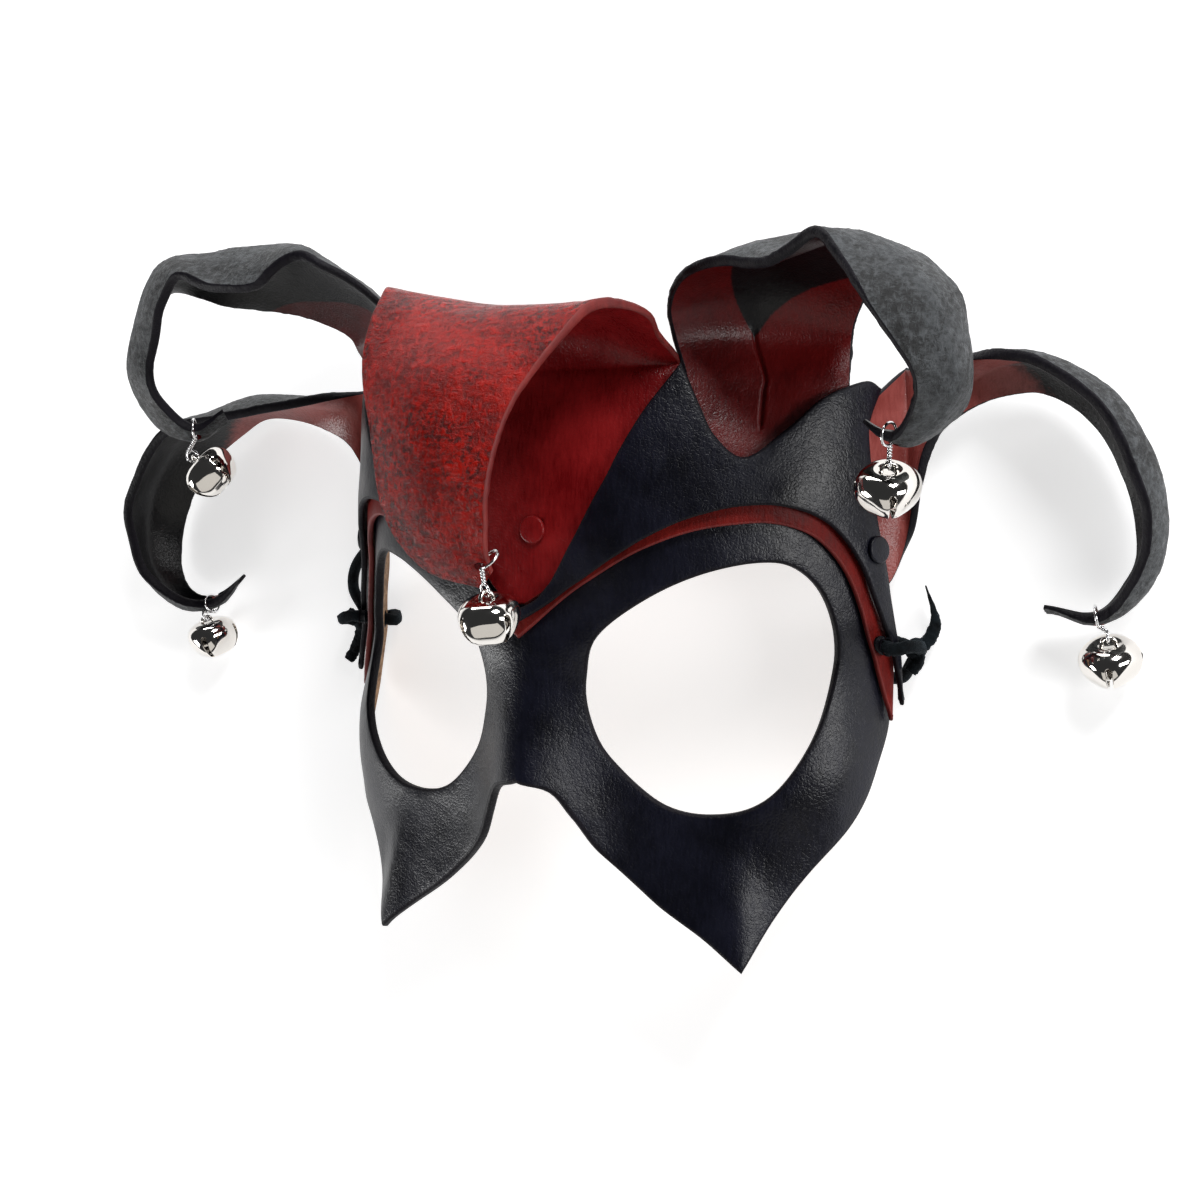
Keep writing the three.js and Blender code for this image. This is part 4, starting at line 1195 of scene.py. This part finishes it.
def smooth_leather(name, dark, light, grain, rough, depth=GRAIN_DEPTH, streaks=0.4, gloss=0.35):
    material, tree, shader = new_material(name)
    height, tone = place_group(tree, grain, object_vector(tree), Streaks=streaks)
    color = mix_color(tree, range_node(tree, tone, 0.32, 0.68), dark, light)
    dress(tree, shader, color, range_node(tree, tone, 0.3, 0.7, *rough), height, depth, gloss)
    return material


def rough_leather(name, dark, light, fibres, rough, depth=0.0003, gloss=0.4, smudge=None):
    """Fibres paler on their raised tips, a painted sheen, and darker where sunk, a painted shade in the
    hollows; smudge is the colour of dark specks in patches.
    """
    material, tree, shader = new_material(name)
    vector = object_vector(tree)
    height, tone = place_group(tree, fibres, vector)
    color = mix_color(tree, range_node(tree, tone, 0.4, 0.6), dark, light)
    # raised fibre tips are painted paler: a painted sheen on the fibres
    fibre_tip_sheen = times(tree, range_node(tree, height, 0.88, 1.12), 0.45)
    color = mix_color(tree, fibre_tip_sheen, color, tuple(min(c * 1.8, 1) for c in light))
    # the sunk hollows between the fibres are painted darker: a painted shade
    hollow_shade = range_node(tree, height, 0.72, 0.88, 0.6, 0.0)
    color = mix_color(tree, hollow_shade, color, tuple(c * 0.5 for c in dark))
    if smudge:
        specks = range_node(tree, noise_node(tree, vector, 750, 4, 0.65), 0.5, 0.6)
        where = range_node(tree, noise_node(tree, vector, 45, 3), 0.42, 0.6)
        color = mix_color(tree, times(tree, times(tree, specks, where), 0.8), color, smudge)
    dress(tree, shader, color, range_node(tree, height, 0.7, 1.3, *reversed(rough)), height, depth, gloss)
    return material


def painted_leather(name, reds, grain, apex, slopes, across, blur):
    """Red near the root, black beyond a V; apex is a share of the length, each slope per share of width."""
    material, tree, shader = new_material(name)
    vector = object_vector(tree)
    height, tone = place_group(tree, grain, vector, Streaks=0.4)
    red = mix_color(tree, range_node(tree, tone, 0.32, 0.68), *reds)
    place = tree.nodes.new("ShaderNodeSeparateXYZ")
    tree.links.new(tree.nodes.new("ShaderNodeTexCoord").outputs["UV"], place.inputs[0])
    aside = math_node(tree, "SUBTRACT", place.outputs[0], across)
    left = times(tree, math_node(tree, "MINIMUM", aside, 0.0), -slopes[0])
    right = times(tree, math_node(tree, "MAXIMUM", aside, 0.0), slopes[1])
    border = plus(tree, plus(tree, right, left), apex)
    reach = math_node(tree, "SUBTRACT", place.outputs[1], border)
    ragged = math_node(tree, "SUBTRACT", noise_node(tree, vector, 700, 3), 0.5)
    dyed = range_node(tree, plus(tree, reach, times(tree, ragged, blur * 2)), -blur, blur)
    color = mix_color(tree, dyed, red, PAINT_BLACK)
    dress(tree, shader, color, range_node(tree, tone, 0.3, 0.7, 0.28, 0.4), height, GRAIN_DEPTH, 0.35)
    return material


def metal(name, color, roughness):
    material, tree, shader = new_material(name)
    vector = object_vector(tree)
    haze = noise_node(tree, vector, 400)
    tint = mix_color(tree, haze, tuple(c * 0.92 for c in color), color)
    shine = range_node(tree, haze, 0.3, 0.7, roughness * 0.7, roughness * 1.5)
    dress(tree, shader, tint, shine, noise_node(tree, vector, 90, 1), 0.00002, strength=0.4)
    shader.inputs["Metallic"].default_value = 1.0
    return material


def suede_material():
    material, tree, shader = new_material("dark suede")
    vector = object_vector(tree)
    nap = noise_node(tree, vector, 2200, 4, 0.7)
    cloud = noise_node(tree, vector, 220)
    color = mix_color(tree, range_node(tree, cloud, 0.35, 0.65), (0.0012, 0.002, 0.003), (0.006, 0.01, 0.013))
    roughness = range_node(tree, nap, 0.3, 0.7, 0.85, 1.0)
    dress(tree, shader, color, roughness, plus(tree, nap, cloud), 0.0004, 0.2)
    shader.inputs["Sheen Weight"].default_value = 0.12
    shader.inputs["Sheen Roughness"].default_value = 0.4
    shader.inputs["Sheen Tint"].default_value = (0.4, 0.5, 0.6, 1)
    return material


def floor_material():
    material, tree, shader = new_material("pale floor")
    vector = object_vector(tree)
    color = mix_color(tree, noise_node(tree, vector, 3, 3), (0.7, 0.7, 0.705), (0.74, 0.74, 0.745))
    tree.links.new(color, shader.inputs["Base Color"])
    shader.inputs["Roughness"].default_value = 0.9
    shader.inputs["Emission Color"].default_value = (1, 1, 1, 1)
    shader.inputs["Emission Strength"].default_value = FLOOR_GLOW
    return material


# Camera, light and floor

LENS = 58.41
AZIMUTH, ELEVATION, ROLL = (math.radians(angle) for angle in (28, 12, -3.9))
EYE = (17.9, 20.4, 470)
FLOOR_HALF = 12
FLOOR_GLOW = 0.62
SKY_STRENGTH = 0.035
LIGHT_AIM = Vector((0, 0, 0.02))


def make_camera():
    """The photograph's place: ahead of the mask, from its right and a little above."""
    data = bpy.data.cameras.new("camera")
    data.sensor_width = 36
    data.lens = LENS
    camera = in_scene("camera", data)
    back = Vector((math.sin(AZIMUTH) * math.cos(ELEVATION), math.sin(ELEVATION),
                   math.cos(AZIMUTH) * math.cos(ELEVATION)))
    level = Vector((math.cos(AZIMUTH), 0, -math.sin(AZIMUTH)))
    upright = back.cross(level)
    right = level * math.cos(ROLL) + upright * math.sin(ROLL)
    up = upright * math.cos(ROLL) - level * math.sin(ROLL)
    eye = (right * EYE[0] + up * EYE[1] + back * EYE[2]) * MM
    turned = LIE.to_3x3() @ Matrix((right, up, back)).transposed()
    camera.matrix_world = Matrix.Translation(LIE @ eye) @ turned.to_4x4()
    bpy.context.scene.camera = camera


def make_light(name, place, size, power, color=(1, 1, 1)):
    data = bpy.data.lights.new(name, "AREA")
    data.shape = "RECTANGLE"
    data.size, data.size_y = size
    data.energy = power
    data.color = color
    light = in_scene(name, data)
    light.location = place
    light.rotation_mode = "QUATERNION"
    light.rotation_quaternion = (LIGHT_AIM - Vector(place)).to_track_quat("-Z", "Y")


def make_stage():
    mesh = bpy.data.meshes.new("floor")
    corners = [(x * FLOOR_HALF, y * FLOOR_HALF, 0) for x, y in ((-1, -1), (1, -1), (1, 1), (-1, 1))]
    mesh.from_pydata(corners, [], [(0, 1, 2, 3)])
    mesh.materials.append(floor_material())
    in_scene("floor", mesh)
    world = bpy.data.worlds.new("studio")
    world.use_nodes = True
    sky = world.node_tree.nodes["Background"]
    sky.inputs["Color"].default_value = (0.95, 0.97, 1.0, 1)
    sky.inputs["Strength"].default_value = SKY_STRENGTH
    bpy.context.scene.world = world
    make_light("top right softbox", (0.55, 0.85, 0.62), (0.35, 0.35), 9.5)
    make_light("right softbox", (1.1, 0.05, 0.45), (0.3, 0.6), 6)
    make_light("left softbox", (-1.0, -0.5, 0.4), (0.4, 0.4), 6.5)
    make_light("foot panel", (0.2, -0.95, 0.6), (1.5, 0.9), 3.0, (1, 0.97, 0.92))
    make_light("top softbox", (-0.35, 1.1, 0.3), (0.8, 0.25), 5.5)


# The whole mask

make_camera()
bpy.context.scene.view_settings.view_transform = "Standard"
suede = suede_material()
make_lace("lace_right", RIGHT_LACE, suede)
make_lace("lace_left", LEFT_LACE, suede)
make_tie("tie_right", 1, RIGHT_TAILS, suede)
make_tie("tie_left", -1, LEFT_TAILS, suede)

grain = grain_group()
fibres = fibre_group()
black_leather = smooth_leather(
    "black smooth leather", (0.001, 0.0011, 0.0033), (0.0035, 0.004, 0.012), grain, rough=(0.3, 0.42))
black_edge = smooth_leather(
    "black cut edge", (0.0015, 0.0012, 0.003), (0.006, 0.0045, 0.009), grain,
    rough=(0.45, 0.65), depth=0.0002, gloss=0.2)
natural_flesh = rough_leather(
    "natural flesh side", (0.16, 0.085, 0.04), (0.3, 0.18, 0.1), fibres, rough=(0.75, 0.9))
band_red = smooth_leather(
    "brow band red", (0.08, 0.003, 0.0025), (0.2, 0.009, 0.006), grain,
    rough=(0.42, 0.58), streaks=0.7, gloss=0.15)
red_edge = smooth_leather("red cut edge", (0.1, 0.006, 0.006), (0.22, 0.02, 0.016), grain, rough=(0.45, 0.6))
leaf_red = smooth_leather(
    "smooth red leather", (0.1, 0.002, 0.003), (0.22, 0.008, 0.009), grain, rough=(0.25, 0.38), gloss=0.22)
rough_red = rough_leather(
    "rough red leather", (0.12, 0.0015, 0.001), (0.27, 0.005, 0.002), fibres,
    rough=(0.15, 0.3), depth=0.0006, gloss=0.17, smudge=(0.012, 0.002, 0.002))
# the pale grey of its lighter patches is a painted sheen of the nap over near-black leather
rough_black = rough_leather(
    "rough black leather", (0.003, 0.0033, 0.004), (0.038, 0.042, 0.046), fibres,
    rough=(0.4, 0.65), depth=0.0005)
upper_reds = ((0.06, 0.0015, 0.002), (0.14, 0.004, 0.004))
# the lower horns' red paint is made pale and pinkish: a painted sheen over the red
lower_reds_with_sheen = ((0.19, 0.035, 0.03), (0.34, 0.085, 0.075))
upper_right_paint = painted_leather(
    "upper right horn paint", upper_reds, grain, apex=0.312, slopes=(0.56, 0.4), across=0.475, blur=0.004)
upper_left_paint = painted_leather(
    "upper left horn paint", upper_reds, grain, apex=0.312, slopes=(0.4, 0.56), across=0.525, blur=0.004)
lower_paint = painted_leather(
    "lower horn paint", lower_reds_with_sheen, grain, apex=0.48, slopes=(0.12, 0.12), across=0.5, blur=0.02)

make_eye_mask(black_leather, natural_flesh, black_edge)
make_brow_band(band_red, natural_flesh, red_edge)
make_crown(black_leather, rough_black, black_edge)

nickel = metal("polished nickel", (0.8, 0.77, 0.73), 0.07)
silver = metal("silver wire", (0.85, 0.85, 0.86), 0.15)
bell = bell_source(nickel)
twist = twist_tree(silver)

# tie: the hole's share of the length, the edge beside it, the bell's centre, lean and spin in degrees
HORNS = {
    "center": dict(
        rows=CENTRE_ROWS, look=(leaf_red, rough_red, red_edge), slot="red_leather",
        tie=(0.962, 1, (12, 25, 34), (0, 0, 0), 64), punches=[CENTRE_RIVET], ripple=0.3),
    "upper_right": dict(
        rows=UPPER_RIGHT_ROWS, look=(upper_right_paint, rough_black, black_edge), slot="black_leather",
        tie=(0.945, -1, (93, 49, -1), (0, 0, 0), 18), crease=(0.43, 0.48, 0.1, 0.34, 0.9), ripple=1.2),
    "upper_left": dict(
        rows=UPPER_LEFT_ROWS, look=(upper_left_paint, rough_black, black_edge), slot="black_leather",
        tie=(0.94, 1, (-100, 49, -14), (-0.8, 0, 0), 8), crease=(0.57, 0.52, 0.1, 0.34, 0.9), ripple=1.2),
    "lower_right": dict(
        rows=LOWER_RIGHT_ROWS, look=(lower_paint, rough_black, black_edge), slot="black_leather",
        tie=(0.925, -1, (130, 2, -44), (0.2, 0, 0), 10), punches=[SIDE_RIVET], ripple=0.4),
    "lower_left": dict(
        rows=LOWER_LEFT_ROWS, look=(lower_paint, rough_black, black_edge), slot="black_leather",
        tie=(0.925, 1, (-126, -3, -39), (-0.55, 0, 0), 28), punches=[left_of(SIDE_RIVET)], ripple=0.4),
}
for number, (name, horn) in enumerate(HORNS.items()):
    strap = Strap(horn["rows"])
    tie_hole = hang_bell(name, strap, *horn["tie"], bell, twist, nickel, silver)
    holes = [tie_hole] + [rivet_punch(place) for place in horn.get("punches", [])]
    piece = strap_piece(f"horn_{name}_leather", strap, horn["look"], holes, horn.get("crease"),
                        horn["ripple"], seed=5.0 * number)
    settle(piece, f"horn_{name}")
bpy.data.objects.remove(bell)

make_rivet("rivet_center", CENTRE_RIVET, BAND_LIFT + ROOT_THICKNESS, leaf_red)
for name, place in zip(("rivet_right", "rivet_left"), SIDE_RIVETS):
    make_rivet(name, place, CROWN_LIFT + CROWN_THICKNESS, black_leather)

make_stage()
